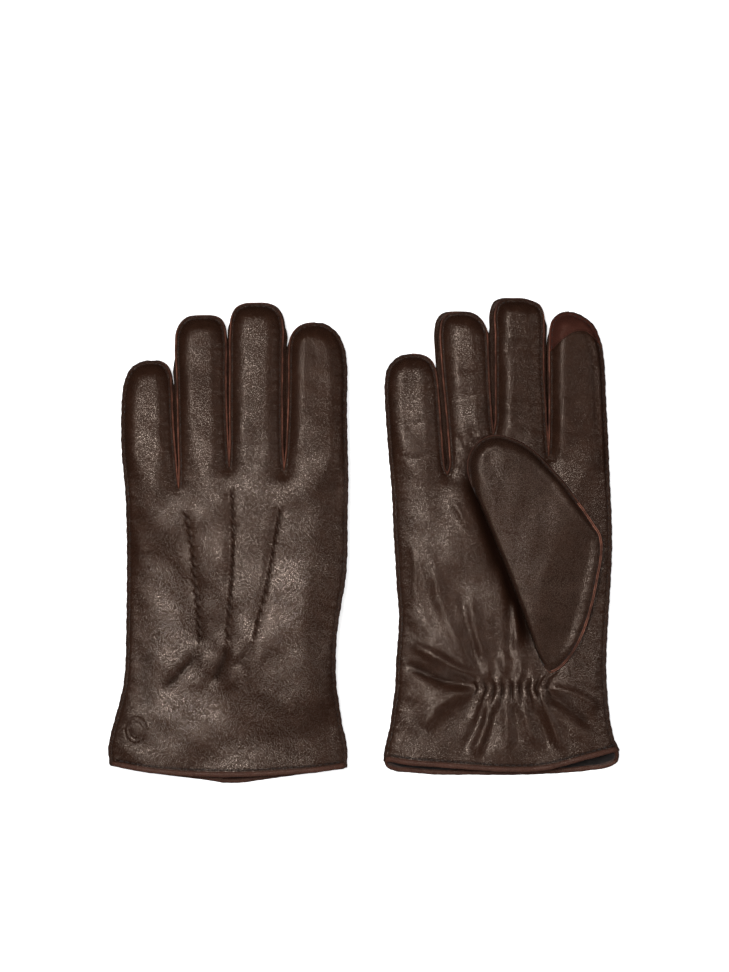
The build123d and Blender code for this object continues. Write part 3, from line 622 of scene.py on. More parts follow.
def raised_row(points, knots):
    """A row of slanting raised stitches lying in a shallow trough."""
    curve = spline(knots, 1.0)
    near = np.all((points > curve.min(0) - 9) & (points < curve.max(0) + 9), axis=1)
    distance, along, side, total = line_distance(points[near], curve)
    offset = distance * side
    turn = np.clip((along / 5.3) % 1.0 / 0.86, 0, 1)       # place within one 5.3 mm stitch
    ridge = -0.62 * bell(distance, 3.0) - 0.55 * bell(offset, 1.25)
    slant = 0.55 - 1.25 * turn
    ridge += 1.75 * np.sin(math.pi * turn) ** 0.6 * bell(offset + slant, 0.62)
    ridge += 0.35 * bell(offset + 0.95, 0.55)
    heights = np.zeros(len(points))
    heights[near] = ridge * ease(along / 4.0) * ease((total - along) / 4.0)
    return heights


def features(glove, kind, points):
    """Folds, gathers and raised rows on the back or the palm."""
    if kind == "palm":
        local = on_palm(glove, points)
        height = folds(local, PALM_FOLDS) + gathers(local)[0]
        for x, y, wide, long, puff in PUFFS:
            height += puff * bell(local[:, 0] - x, wide) * bell(local[:, 1] - y, long)
        return height
    local = points - BACK_SHIFT if glove == "right" else points
    return folds(local, BACK_FOLDS) + sum(raised_row(local, row) for row in BACK_ROWS["left"])


def oval_mark(points):
    """A sunk oval ring with a fainter one inside it."""
    radius = np.hypot(*((points - OVAL_CENTRE) / (6.4, 7.6)).T)
    ring = bell((radius - 0.92) * 6.9, 0.55)
    inner = bell((radius - 0.55) * 6.9, 0.45)
    return -0.42 * ring - 0.26 * inner


def fill(t, power):
    """Rounded rise of the leather from its flange to its crown."""
    t = np.clip(t, 0, 1)
    return 0.3 * (1 - (1 - t) ** power) ** (1 / power) + 0.7 * (1 - (1 - t) ** 2)


def drape(points):
    """How far the left-hand glove sags beside its folded thumb."""
    away = points[:, None] - spline(THUMB["left"], 3.0)[None]
    distance = np.min(np.hypot(away[..., 0], away[..., 1]), axis=1)
    distance[THUMB_OUTLINES["left"].inside(points)] = 0
    return 6.9 * ease((distance - 3) / 38) * ease((28 - points[:, 1]) / 45)


def droop(points):
    """How far the left-hand glove's fingers slope down past the knuckles."""
    knuckles = [KNUCKLE["left", finger][1] for finger in FINGERS]
    knuckle_y = np.interp(points[:, 0], [-113.6, -86, -58, -26], knuckles)
    past = (points[:, 1] - knuckle_y) / 6.0
    return DROOP * np.where(past > 20, past, np.log1p(np.exp(np.clip(past, -30, 20)))) * 6.0


def seam_relief(depth, along, phases):
    """Leather pulled down by each stitch, and small puckers running in from the seam."""
    angle = 2 * math.pi * along
    pull = 0.5 + 0.5 * np.cos(angle / 2.7)
    pucker = sum(size * np.sin(angle / pitch + phase)
                 for pitch, size, phase in zip((5.1, 8.3, 3.6), (1, 0.8, 0.6), phases))
    return (0.10 * pucker * bell(depth - 3.2, 2.4)
            - (0.22 + 0.20 * pull) * bell(depth - SEAM_INSET, 0.45))


def from_thumb(points):
    """Distance from each point to the right-hand glove's thumb outline, 0 inside it."""
    outline = THUMB_OUTLINES["right"]
    return np.where(outline.inside(points), 0.0, outline.nearest(points)[0])


def half_height(glove, layer, points):
    """Height of a layer's outer face from the glove's middle plane, with the distance to the
    seam edge and the nearest edge point."""
    outline = OUTLINES[glove, layer]
    depth, near, along = outline.nearest(points, seam_only=True)
    edge = outline.edge[near]
    kind = face_of(glove, layer)
    x, y = points.T
    # the hand rises to its crown over a wider margin than the fingers
    margin = 7.4 + 11.5 * (1 - ease((y - 20) / 25))
    height = edge + (CROWN - edge) * fill((depth - FLANGE) / margin, 2.05)
    # beside the slots the flange curls up a little to its cut edge
    height += 0.22 * (1 - ease(depth / 0.9)) * (edge > EDGE_OUT + 0.3)
    height += seam_relief(depth, along, np.random.default_rng(5).uniform(0, 6.28, 3))
    inner = ease((depth - 1.2) / 5)
    height += features(glove, kind, points) * inner
    if (glove, kind) == ("left", "back"):
        height += oval_mark(points) * inner
    if kind == "palm":
        height += folds(on_palm(glove, points), EDGE_FOLDS) * ease((depth - 0.6) / 1.4)
    if layer == "upper":               # how each finger happens to roll
        for n, finger in enumerate(FINGERS):
            knuckle_x, knuckle_y = KNUCKLE[glove, finger]
            weight = (outline.kind[near] == n) * ease((y - (knuckle_y - 14)) / 18)
            height -= ROLL[glove][n] * (x - knuckle_x) * weight * inner
    seed = {"upper": 11, "lower": 12}[layer] + (0 if glove == "left" else 12)
    on_hand = 1 - ease((y - 35) / 40)
    height += waves(points, seed, [15, 27, 50], 1.0) * inner * (0.40 + 0.16 * on_hand)
    if layer == "upper" and glove == "right":      # the thumb lies on the palm and presses it
        height = np.minimum(height, CROWN + 0.35 + 0.25 * from_thumb(points))
    if layer == "lower":               # the floor holds the lower leather flat
        if glove == "right":
            height = np.minimum(height, MID[glove] - FLOOR_GAP)
        height = np.where(depth > 12, np.minimum(height, 6.35), height)
    return height, depth, near


def place(glove, layer, points, height):
    """World height of a layer's points, given their height from the middle plane."""
    z = MID[glove] + (height if layer == "upper" else -height)
    if glove == "left":
        z = np.maximum(z - drape(points) - droop(points), FLOOR_GAP)
    return z


def height_at(glove, layer, points):
    return place(glove, layer, points, half_height(glove, layer, points)[0])


def thumb_height(glove, layer, points):
    """World height of the thumb's outer (away from the palm) or inner leather, with the
    distance to the edge and the nearest edge point."""
    outline = THUMB_OUTLINES[glove]
    depth, near, along = outline.nearest(points)
    edge, soft = outline.edge[near], outline.soft[near]
    base, away = THUMB_AXIS[glove]
    middle, root_half, gain, inner_half, sink = THUMB_HEIGHTS[glove]
    root = ease((points - base) @ away / THUMB_BEND)
    crown = root_half + gain * root if layer == "outer" else inner_half
    swell = (depth - FLANGE * (1 - soft)) / (3.8 - 1.6 * soft)
    height = edge + (crown - edge) * fill(swell, 2.0)
    height += seam_relief(depth, along, (1, 2)) * (1 - soft)
    if layer == "outer":
        height += waves(points, 31, [15, 24, 40], 0.45) * ease((depth - 1.5) / 5)
        tilt = points[:, 0] - outline.points[:, 0].mean()
        height -= 0.045 * tilt * ease((depth - 1.5) / 6)
        height += folds(on_palm(glove, points), THUMB_FOLDS)
    up = 1 if (layer == "outer") == (glove == "right") else -1
    z = middle - sink * (1 - root) + up * height
    return np.maximum(z, FLOOR_GAP), depth, near


# ------------------------------------------------------------------ meshes
def renumber(ids, count):
    """The ids in use, and a table from old to new numbers."""
    used = np.unique(ids)
    new = -np.ones(count, int)
    new[used] = np.arange(len(used))
    return used, new


def triangulate(outline, cuts=(), fine=None, rows=()):
    """Points and triangles that fill an outline. Cuts are lines the triangles must follow, fine
    tells which points need closer neighbours, and rows are lines of raised stitching."""
    turned = np.sum(outline.out * np.roll(outline.out, 2, 0), 1) < 0.6
    keep = np.unique(np.concatenate([np.arange(0, len(outline.points), 2), np.where(turned)[0]]))
    border = outline.points[keep]
    rings = []
    for n, depth in enumerate(RING_DEPTHS):
        ids = keep if n % 2 == 0 else np.clip(keep + 1, 0, len(outline.points) - 1)
        ring = outline.points[ids] - outline.out[ids] * depth
        rings.append(ring[(outline.nearest(ring)[0] > depth * 0.93) & outline.inside(ring)])
    low, high = outline.points.min(0), outline.points.max(0)
    high_count = int((high[1] - low[1]) / (SPACING * 0.866)) + 1
    wide_count = int((high[0] - low[0]) / SPACING) + 1
    column, line = np.meshgrid(np.arange(wide_count), np.arange(high_count))
    grid = np.stack([low[0] + (column + 0.5 * (line % 2)) * SPACING,
                     low[1] + line * SPACING * 0.866], -1).reshape(-1, 2)
    grid = grid[outline.inside(grid)]
    grid = grid[outline.nearest(grid)[0] > RING_DEPTHS[-1] + SPACING * 0.6]
    if fine is not None:
        chosen = grid[fine(grid)]
        half = SPACING / 2
        nudges = ((half, 0), (half / 2, half * 0.866), (-half / 2, half * 0.866))
        grid = np.concatenate([grid] + [chosen + nudge for nudge in nudges])
    for knots in rows:
        curve = spline(knots, 0.55)
        forward = unit(np.gradient(curve, axis=0))
        across = np.stack([-forward[:, 1], forward[:, 0]], 1)
        clear = max(abs(offset) for offset in ROW_OFFSETS) + 0.5
        grid = grid[line_distance(grid, curve)[0] > clear]
        grid = np.concatenate([grid] + [curve + across * offset for offset in ROW_OFFSETS])
    cuts = [spline(cut, 1.0) for cut in cuts]
    for cut in cuts:
        grid = grid[line_distance(grid, cut)[0] > SPACING * 0.5]
        rings = [ring[line_distance(ring, cut)[0] > 0.35] for ring in rings]
    groups = [border, *rings, grid]
    edges = [(i, (i + 1) % len(border)) for i in range(len(border))]
    first = sum(len(group) for group in groups)
    for cut in cuts:
        edges += [(first + i, first + i + 1) for i in range(len(cut) - 1)]
        first += len(cut)
    every = [Vector(p) for p in np.concatenate(groups + cuts)]
    found, _, faces, *_ = delaunay_2d_cdt(every, edges, [], 1, 1e-4, False)
    points = np.array([(p[0], p[1]) for p in found])
    triangles = np.array([face for face in faces if len(face) == 3], int)
    triangles = triangles[outline.inside(points[triangles].mean(1))]
    used, new = renumber(triangles, len(points))
    points, triangles = points[used], new[triangles]
    side_a = points[triangles[:, 1]] - points[triangles[:, 0]]
    side_b = points[triangles[:, 2]] - points[triangles[:, 0]]
    turn = side_a[:, 0] * side_b[:, 1] - side_a[:, 1] * side_b[:, 0]
    real = np.abs(turn) > 1e-5
    triangles, turn = triangles[real], turn[real]
    triangles[turn < 0] = triangles[turn < 0][:, ::-1]
    return points, triangles


def vertex_normals(points, triangles):
    first, second, third = (points[triangles[:, i]] for i in range(3))
    face_normals = np.cross(second - first, third - first)
    normals = np.zeros_like(points)
    for i in range(3):
        np.add.at(normals, triangles[:, i], face_normals)
    return unit(normals, 1e-12)


def make_object(name, points, faces, materials, slots=0, normals=None, **fields):
    """A smooth mesh object from millimetre points. Its rest place and the fields are kept as
    attributes for the materials."""
    mesh = bpy.data.meshes.new(name)
    points = np.asarray(points, float)
    mesh.from_pydata((points * MM).tolist(), [], [tuple(int(i) for i in f) for f in faces])
    for material in materials:
        mesh.materials.append(material)
    mesh.polygons.foreach_set("material_index", np.full(len(faces), slots, np.int32))
    mesh.polygons.foreach_set("use_smooth", np.ones(len(faces), bool))
    rest = mesh.attributes.new("rest_co", "FLOAT_VECTOR", "POINT")
    rest.data.foreach_set("vector", points.astype(np.float32).ravel())
    for key, values in fields.items():
        field = mesh.attributes.new(key, "FLOAT", "POINT")
        field.data.foreach_set("value", np.full(len(points), values, np.float32))
    mesh.update()
    if normals is not None:
        mesh.normals_split_custom_set_from_vertices([tuple(n) for n in normals])
    made = bpy.data.objects.new(name, mesh)
    bpy.context.scene.collection.objects.link(made)
    return made


def leather_pieces(outline, flat, triangles, z, near, face_up, regions, names, materials,
                   painted_glint=None, **fields):
    """Splits one leather into pieces, each with an outer face, an inner face and a raw edge."""
    up = 1 if face_up else -1
    if not face_up:
        triangles = triangles[:, ::-1]
    outer = np.column_stack([flat, z])
    out, soft = outline.out[near], outline.soft[near]
    depth = outline.nearest(flat)[0]
    # over a soft fold the leather runs round the edge
    over = (soft * bell(depth, 0.6))[:, None]
    level_out = np.column_stack([out, np.zeros(len(out))])
    normals = unit(vertex_normals(outer, triangles) * (1 - over) + level_out * over, 1e-12)
    # near the edge the leather is flat, so its thickness goes straight down
    straight = bell(depth, 1.6)[:, None]
    inner = ((outer - normals * LEATHER) * (1 - straight)
             + (outer - [0, 0, up * LEATHER]) * straight)
    inner[:, :2] += out * (RIM * (1 - soft) * np.clip(1 - depth / 0.5, 0, 1))[:, None]
    # edges that belong to one triangle only lie on the outline
    edges = np.concatenate([triangles[:, [0, 1]], triangles[:, [1, 2]], triangles[:, [2, 0]]])
    owners = np.tile(np.arange(len(triangles)), 3)
    pairs = np.sort(edges, axis=1)
    codes = pairs[:, 0].astype(np.int64) * (len(flat) + 1) + pairs[:, 1]
    _, inverse, uses = np.unique(codes, return_inverse=True, return_counts=True)
    single = uses[inverse] == 1
    edges, owners = edges[single], owners[single]
    pieces = []
    for region, name in enumerate(names):
        mine = regions == region
        used, new = renumber(triangles[mine], len(flat))
        faces = new[triangles[mine]]
        own_edges = edges[mine[owners]]
        rim, rim_new = renumber(own_edges, len(flat))
        start, end = (rim_new[own_edges] + 2 * len(used)).T
        quads = np.stack([end, start, start + len(rim), end + len(rim)], 1)
        side = unit(np.column_stack([out[rim] * 0.85, np.full(len(rim), 0.45 * up)]))
        bend = soft[rim][:, None]
        side = unit(side * (1 - bend) + normals[rim] * bend, 1e-12)
        points = np.concatenate([outer[used], inner[used], outer[rim], inner[rim]])
        ids = np.concatenate([used, used, rim, rim])
        own_fields = {key: values[ids] for key, values in fields.items()}
        # painted highlight and painted shade: the glint map
        if painted_glint is not None:
            own_fields["painted_glint"] = painted_glint(points)
        slots = [0] * len(faces) + [1] * len(faces)
        slots += [0 if soft[i] > 0.5 else 2 for i, _ in own_edges]
        pieces.append(make_object(
            name, points, [*faces, *(faces + len(used))[:, ::-1], *quads], materials, slots,
            np.concatenate([normals[used], -normals[used], side, side]), **own_fields))
    return pieces


def band_faces(rings, sides, closed=False, caps=False):
    """Quads between successive rings of points; closed joins the last ring to the first."""
    faces = []
    for i in range(rings if closed else rings - 1):
        j = (i + 1) % rings
        for k in range(sides):
            m = (k + 1) % sides
            faces.append((i * sides + k, i * sides + m, j * sides + m, j * sides + k))
    if caps:
        faces.append(tuple(range(sides))[::-1])
        faces.append(tuple((rings - 1) * sides + k for k in range(sides)))
    return faces


def outward_faces(points, faces):
    """Faces turned outward, judged by the signed volume."""
    volume = sum(np.dot(points[f[0]], np.cross(points[f[i]], points[f[i + 1]]))
                 for f in faces for i in range(1, len(f) - 1))
    return [f[::-1] for f in faces] if volume < 0 else faces


def merge(parts):
    """One list of points and one of faces from several."""
    points, faces, count = [], [], 0
    for part, part_faces in parts:
        points.append(part)
        faces += [tuple(i + count for i in face) for face in part_faces]
        count += len(part)
    return np.concatenate(points), faces


def tube(centre, across, upward, wide, tall, sides, closed=False, power=2.0):
    """A band swept along a line, with half size wide along across and tall along upward. A power
    above 2 squares its section."""
    angle = np.linspace(0, 2 * math.pi, sides, endpoint=False)
    cosine, sine = (np.sign(wave) * np.abs(wave) ** (2 / power)
                    for wave in (np.cos(angle), np.sin(angle)))
    count = len(centre)
    wide = np.broadcast_to(wide, (count,))[:, None]
    tall = np.broadcast_to(tall, (count,))[:, None]
    points = (centre[:, None, :] + across[:, None, :] * (wide * cosine)[..., None]
              + upward[:, None, :] * (tall * sine)[..., None]).reshape(-1, 3)
    return points, outward_faces(points, band_faces(count, sides, closed, caps=not closed))


def cord(centre, wide, tall):
    """An open round tube that stays level across."""
    forward = unit(np.gradient(centre, axis=0))
    across = unit(np.cross(forward, [0.0, 0.0, 1.0]))
    return tube(centre, across, np.cross(across, forward), wide, tall, sides=8)


# Sections of a stitch: share of its length, share of its width, share of its rise.
STITCH_SHAPE = ((-0.04, 0.25, -0.75), (0.1, 0.8, 0.15), (0.32, 1.0, 0.85), (0.68, 1.0, 0.85),
                (0.9, 0.8, 0.15), (1.04, 0.25, -0.75))
STITCH_SIDES = 6
STITCH_FACES = band_faces(len(STITCH_SHAPE), STITCH_SIDES, caps=True)


def stitch(start, end, up):
    """A short plump thread loop; up is +1 or -1."""
    length = np.linalg.norm(end - start)
    forward = (end - start) / length
    side = np.cross((0, 0, up), forward)
    side /= np.linalg.norm(side) + 1e-9
    rising = np.cross(forward, side)
    points = []
    for share, fat, rise in STITCH_SHAPE:
        centre = start + forward * (length * share) + rising * (rise * STITCH_RISE)
        for k in range(STITCH_SIDES):
            angle = 2 * math.pi * k / STITCH_SIDES
            points.append(centre + side * math.cos(angle) * STITCH_HALF * fat
                          + rising * math.sin(angle) * STITCH_HALF * fat * 0.8)
    return np.array(points)


def stitches_between(starts, ends, height, up):
    """Stitches lying on a leather, where height gives the world height of flat points."""
    starts = np.column_stack([starts, height(starts) + 0.02 * up])
    ends = np.column_stack([ends, height(ends) + 0.02 * up])
    return [stitch(start, end, up) for start, end in zip(starts, ends)]


def thread_object(name, stitches):
    points, faces = merge((loop, STITCH_FACES) for loop in stitches)
    points[:, 2] = np.maximum(points[:, 2], 0.05)
    return make_object(name, points, faces, [M_THREAD])


# ------------------------------------------------------------------ materials
def shade(tone, factor):
    return tuple(c * factor for c in tone)


class Graph:
    """The emptied node tree of a material or world, with short calls to fill it."""

    def __init__(self, block):
        block.use_nodes = True
        self.tree = block.node_tree
        self.tree.nodes.clear()

    def node(self, kind, inputs=None, **settings):
        made = self.tree.nodes.new(kind)
        for key, value in settings.items():
            setattr(made, key, value)
        for key, value in (inputs or {}).items():
            self.feed(made, key, value)
        return made

    def feed(self, node, key, value):
        """Links a socket to an input, or sets the input's value."""
        if isinstance(value, bpy.types.NodeSocket):
            self.tree.links.new(value, node.inputs[key])
        else:
            node.inputs[key].default_value = value

    def math(self, operation, value, *others):
        for other in others:
            value = self.node("ShaderNodeMath", {0: value, 1: other},
                              operation=operation).outputs[0]
        return value

    def times(self, *values):
        return self.math("MULTIPLY", *values)

    def plus(self, *values):
        return self.math("ADD", *values)

    def ramp(self, value, first, middle, last):
        """A colour ramp through three (position, colour) stops."""
        made = self.node("ShaderNodeValToRGB")
        elements = made.color_ramp.elements
        for element, (position, colour) in ((elements[0], first), (elements[1], last)):
            element.position = position
            element.color = (*colour, 1)
        elements.new(middle[0]).color = (*middle[1], 1)
        self.feed(made, 0, value)
        return made.outputs[0]

    def mix(self, factor, first, second, mode="MIX"):
        first, second = (c if isinstance(c, bpy.types.NodeSocket) else (*c, 1)
                         for c in (first, second))
        return self.node("ShaderNodeMix", {0: factor, 6: first, 7: second},
                         data_type="RGBA", blend_type=mode).outputs[2]

    def darken(self, colour, grey):
        combined = self.node("ShaderNodeCombineColor", {0: grey, 1: grey, 2: grey})
        return self.mix(1.0, colour, combined.outputs[0], "MULTIPLY")

    def span(self, value, start, end, low=0.0, high=1.0):
        """A smooth step from low to high as the value goes from start to end."""
        return self.node("ShaderNodeMapRange", {0: value, 1: start, 2: end, 3: low, 4: high},
                         interpolation_type="SMOOTHSTEP").outputs[0]

    def noise(self, place, scale, detail=3.0, roughness=0.55):
        """Noise outputs: 0 is the value, 1 the colour."""
        return self.node("ShaderNodeTexNoise", {
            "Vector": place, "Scale": scale, "Detail": detail, "Roughness": roughness}).outputs

    def cells(self, place, scale, feature):
        return self.node("ShaderNodeTexVoronoi", {"Vector": place, "Scale": scale},
                         feature=feature).outputs[0]

    def field(self, name, output="Fac"):
        return self.node("ShaderNodeAttribute", attribute_name=name).outputs[output]

    def shift(self, place, amount, by):
        scaled = self.node("ShaderNodeVectorMath", {0: by, "Scale": amount}, operation="SCALE")
        return self.node("ShaderNodeVectorMath", {0: place, 1: scaled.outputs[0]},
                         operation="ADD").outputs[0]

    def bump(self, height, strength, distance):
        return self.node("ShaderNodeBump", {
            "Strength": strength, "Distance": distance, "Height": height}).outputs[0]


def new_material(name):
    material = bpy.data.materials.new(name)
    return material, Graph(material)


def finish_material(graph, inputs):
    surface = graph.node("ShaderNodeBsdfPrincipled", inputs)
    graph.node("ShaderNodeOutputMaterial", {0: surface.outputs[0]})


def leather(name, tone, worn, gloss=0.5, grain=1.0, shine=0.31):
    """Grained glove leather: pebbled cells, fine creases, uneven dye, darker along the seams and
    worn on the high places, with painted shade in the sunk creases and painted highlight and
    shade from the glint map. A lower gloss is a lower roughness."""
    material, g = new_material(name)
    place = g.field("rest_co", "Vector")
    warp = g.noise(place, scale=0.9, detail=2.0)[1]
    warped = g.shift(place, amount=0.55, by=warp)
    fine = g.cells(warped, scale=2.7, feature="F1")
    cell_edge = g.cells(warped, scale=1.25, feature="DISTANCE_TO_EDGE")
    broad = g.noise(place, scale=0.032)[0]
    patchy = g.noise(place, scale=0.16)[0]
    small = g.noise(place, scale=1.9, detail=2.0)[0]
    # height: pebbles between cell edges, then creases where the patchy noise is strong
    pebble = g.span(cell_edge, start=0.0, end=0.28)
    height = g.plus(g.times(pebble, 0.62), g.times(fine, -0.35), g.times(small, 0.42))
    stretched = g.node("ShaderNodeVectorMath", {0: place, 1: (0.5, 1.6, 1.0)},
                       operation="MULTIPLY").outputs[0]
    lines = g.cells(g.shift(stretched, amount=0.8, by=warp), 0.42, "DISTANCE_TO_EDGE")
    crease = g.span(lines, start=0.0, end=0.06)
    strong = g.span(patchy, start=0.42, end=0.62)
    height = g.plus(height, g.times(crease, strong, 0.40))
    normal = g.bump(height, strength=1.0, distance=0.000068 * grain)
    # uneven dye
    colour = g.ramp(broad, (0.30, shade(tone, 0.84)), (0.52, tone), (0.74, shade(tone, 1.17)))
    colour = g.darken(colour, g.span(patchy, start=0.35, end=0.7, low=0.88, high=1.12))
    # worn specks on the high places, dark pits between pebbles
    speck = g.times(g.span(fine, start=0.50, end=0.12), g.span(small, start=0.42, end=0.68))
    colour = g.mix(g.times(speck, 0.55 * grain), colour, worn)
    pit = g.span(pebble, start=0.55, end=0.0)
    colour = g.mix(g.times(pit, 0.42 * grain), colour, shade(tone, 0.42))
    # darker near a seam, and painted shade in the sunk creases
    seam = g.field("seam_d")
    near_seam = g.span(seam, start=0.4, end=2.2, low=0.42, high=0.0)
    colour = g.mix(near_seam, colour, shade(tone, 0.38))
    # sunk is the painted crease shade; it darkens the colour here and cuts the glint below
    sunk = g.field("crease")
    colour = g.mix(g.times(sunk, 0.9), colour, shade(tone, 0.22))
    # bare leather right at the cut edge
    bare = g.times(g.span(seam, start=0.42, end=0.05),
                   g.span(small, start=0.30, end=0.62, low=0.35, high=1.0),
                   g.field("bare"), 0.55)
    colour = g.mix(bare, colour, (tone[0] * 4.2, tone[1] * 3.0, tone[2] * 2.7))
    # rougher in the pits and along the seams
    rough = g.plus(gloss, g.times(g.math("SUBTRACT", patchy, 0.5), 0.08), g.times(pit, 0.20),
                   g.span(seam, start=0.5, end=1.6, low=0.25, high=0.0))
    # less glint along seams and between pebbles; less glint in the sunk creases is painted shade,
    # and the glint map adds painted highlight and painted shade
    glint = g.times(g.math("SUBTRACT", 1.0, g.times(sunk, 0.85)),
                    g.span(seam, start=0.4, end=2.0, low=0.40, high=1.0))
    sparkle = g.times(g.span(fine, start=0.62, end=0.14, low=0.6, high=1.35),
                      g.span(pebble, start=0.08, end=0.85, low=0.30, high=1.25),
                      g.math("SUBTRACT", 1.0, g.field("painted_glint")))
    finish_material(g, {
        "Base Color": colour, "Roughness": rough, "Normal": normal,
        "Specular IOR Level": g.times(glint, sparkle, shine),
        "Specular Tint": (1.0, 0.80, 0.67, 1)})
    return material


def suede(name, tone, scale, strength, sheen, spread=0.25, dark=None):
    """Raw cut leather, fleece and thread: fibrous, with no gloss. Scale and strength are the
    fibre noise's, spread is how uneven the colour is, and dark shows where it isn't bare."""
    material, g = new_material(name)
    place = g.field("rest_co", "Vector")
    fibres = g.noise(place, scale, detail=4.0, roughness=0.7)[0]
    uneven = g.noise(place, scale * 0.23, detail=2.0)[0]
    colour = g.ramp(fibres, (0.25, shade(tone, 1 - 1.5 * spread)), (0.5, tone),
                    (0.8, shade(tone, 1 + 2.2 * spread)))
    colour = g.darken(colour, g.span(uneven, 0.3, 0.7, low=1 - spread, high=1 + spread))
    if dark:
        patchy = g.noise(place, scale=0.07, detail=2.0)[0]
        bare = g.times(g.field("bare"), g.span(patchy, start=0.32, end=0.62, low=0.25))
        colour = g.mix(bare, dark, colour)
    finish_material(g, {
        "Base Color": colour, "Normal": g.bump(fibres, strength, distance=0.0002),
        "Roughness": 0.85, "Specular IOR Level": 0.2, "Sheen Weight": sheen})
    return material


TONE = (0.0285, 0.0114, 0.0063)
WORN = (0.080, 0.046, 0.034)
M_LEATHER = leather("glove_leather", TONE, WORN, gloss=0.262, shine=0.66)
M_THUMB = leather("thumb_leather_grain", (0.0300, 0.0138, 0.0085), shade(WORN, 0.90),
                  gloss=0.30, shine=0.50)
M_TOUCH = leather("touch_leather", (0.058, 0.019, 0.013), (0.065, 0.026, 0.019),
                  gloss=0.52, grain=0.25, shine=0.22)
M_BINDING = leather("binding_leather", (0.070, 0.030, 0.021), (0.13, 0.075, 0.056),
                    gloss=0.40, grain=0.8)
# the side strips and gussets: the glove leather darkened, painted shade between the fingers
M_WALL_PAINTED_SHADE = leather("side_strip_leather_painted_shade", shade(TONE, 0.72), shade(WORN, 0.7),
                 gloss=0.56, grain=0.8)
M_EDGE = suede("raw_leather_edge", (0.250, 0.098, 0.064), scale=1.4, strength=0.4, sheen=0.0,
               spread=0.3, dark=(0.022, 0.010, 0.008))
M_FLESH = suede("leather_flesh_side", (0.050, 0.030, 0.024), scale=1.8, strength=0.5, sheen=0.15)
M_LINING = suede("fleece_lining", (0.014, 0.0105, 0.0095), scale=1.1, strength=0.9, sheen=0.08,
                 spread=0.35)
M_THREAD = suede("thread_dark", (0.022, 0.014, 0.012), scale=3.0, strength=0.4, sheen=0.1)


def painted_glint_map(glove, points):
    """Painted highlight and painted shade: how much the leather's glint is cut from place to place,
    set region by region; below zero the glint is raised, as on the gathered puffs.
    """
    x, y = points[:, 0], points[:, 1]
    if glove == "left":
        cuff = (1 - ease((y + 30) / 50)) * ease((x - -119.4) / 15)
        return ease((y - 25) / 45) * (0.27 - 0.22 * bell(x - -56.9, 9)) - 0.28 * cuff
    index = ease((x - 94) / 6)
    middle = ease((x - 64) / 6) * (1 - index)
    corner = bell(x - 118, 14) * bell(y - -72, 30)
    puffs = np.clip(gathers(points)[0] / 1.5, 0, 1)
    return ease((y - 20) / 30) * (0.34 * index + 0.20 * middle) - 0.55 * corner - 0.9 * puffs


# ------------------------------------------------------------------ piece numbers, and joining the hand's pieces to the frame
def regions_of(glove, outline, points, touch=False):
    """Piece number of each point: its place in REGIONS, or the touch patch."""
    kind = outline.kind[outline.nearest(points, seam_only=True)[1]]
    region = np.zeros(len(points), int)
    for n, finger in enumerate(FINGERS):
        low, cut, _ = LIMBS[glove, finger]
        mine = (kind == n) & (points[:, 1] > low)
        region[mine] = 1 + 2 * n
        region[mine & (points[:, 1] > cut)] = 2 + 2 * n
    if touch:
        curve = spline(TOUCH[glove], 1.0)
        above = points[:, 1] > np.interp(points[:, 0], *curve.T)
        region[(region == 8) & above] = TOUCH_REGION
    return region


def attach(piece, glove, region):
    """Puts a hand piece on the hand; any other piece only has its place baked into its mesh."""
    if region == 0:
        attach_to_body(piece, glove + "_hand")
    else:
        if region % 2 == 1 and region != TOUCH_REGION:
            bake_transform(piece)
        else:
            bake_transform(piece)


def attach_thumb(piece):
    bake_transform(piece)


# ------------------------------------------------------------------ palm and back leathers
def fine_places(glove, kind, points):
    """Where small relief needs closer mesh points: the gathered wrist and the oval mark."""
    if kind == "palm":
        x, y = on_palm(glove, points).T
        return (x > 56.6) & (x < 126.5) & (y < -60.0) & (y > -101.4)
    if glove == "left":
        return np.hypot(*(points - OVAL_CENTRE).T) < 9
    return np.zeros(len(points), bool)


def hem_row(glove, layer):
    return spline(HEMS[glove, layer])[6:-6] + (0, HEM_ROW)


def crease_shade_field(glove, layer, points, depth):
    """How strongly each point is darkened, as painted shade, at the bottom of a crease."""
    kind = face_of(glove, layer)
    start, span = (0.5, 2.8) if kind == "palm" else (0.35, 1.2)
    sunk = -features(glove, kind, points)
    crease = ease((sunk - start) / span) * ease((depth - 1.5) / 4)
    if kind == "palm":
        crease = np.maximum(crease, gathers(on_palm(glove, points))[1] * 0.9)
    if layer == "upper":               # painted shade where the leather dips along the row above the hem
        row = line_distance(points, hem_row(glove, layer))[0]
        crease = np.maximum(crease, 0.85 * bell(row, 0.55))
    return crease


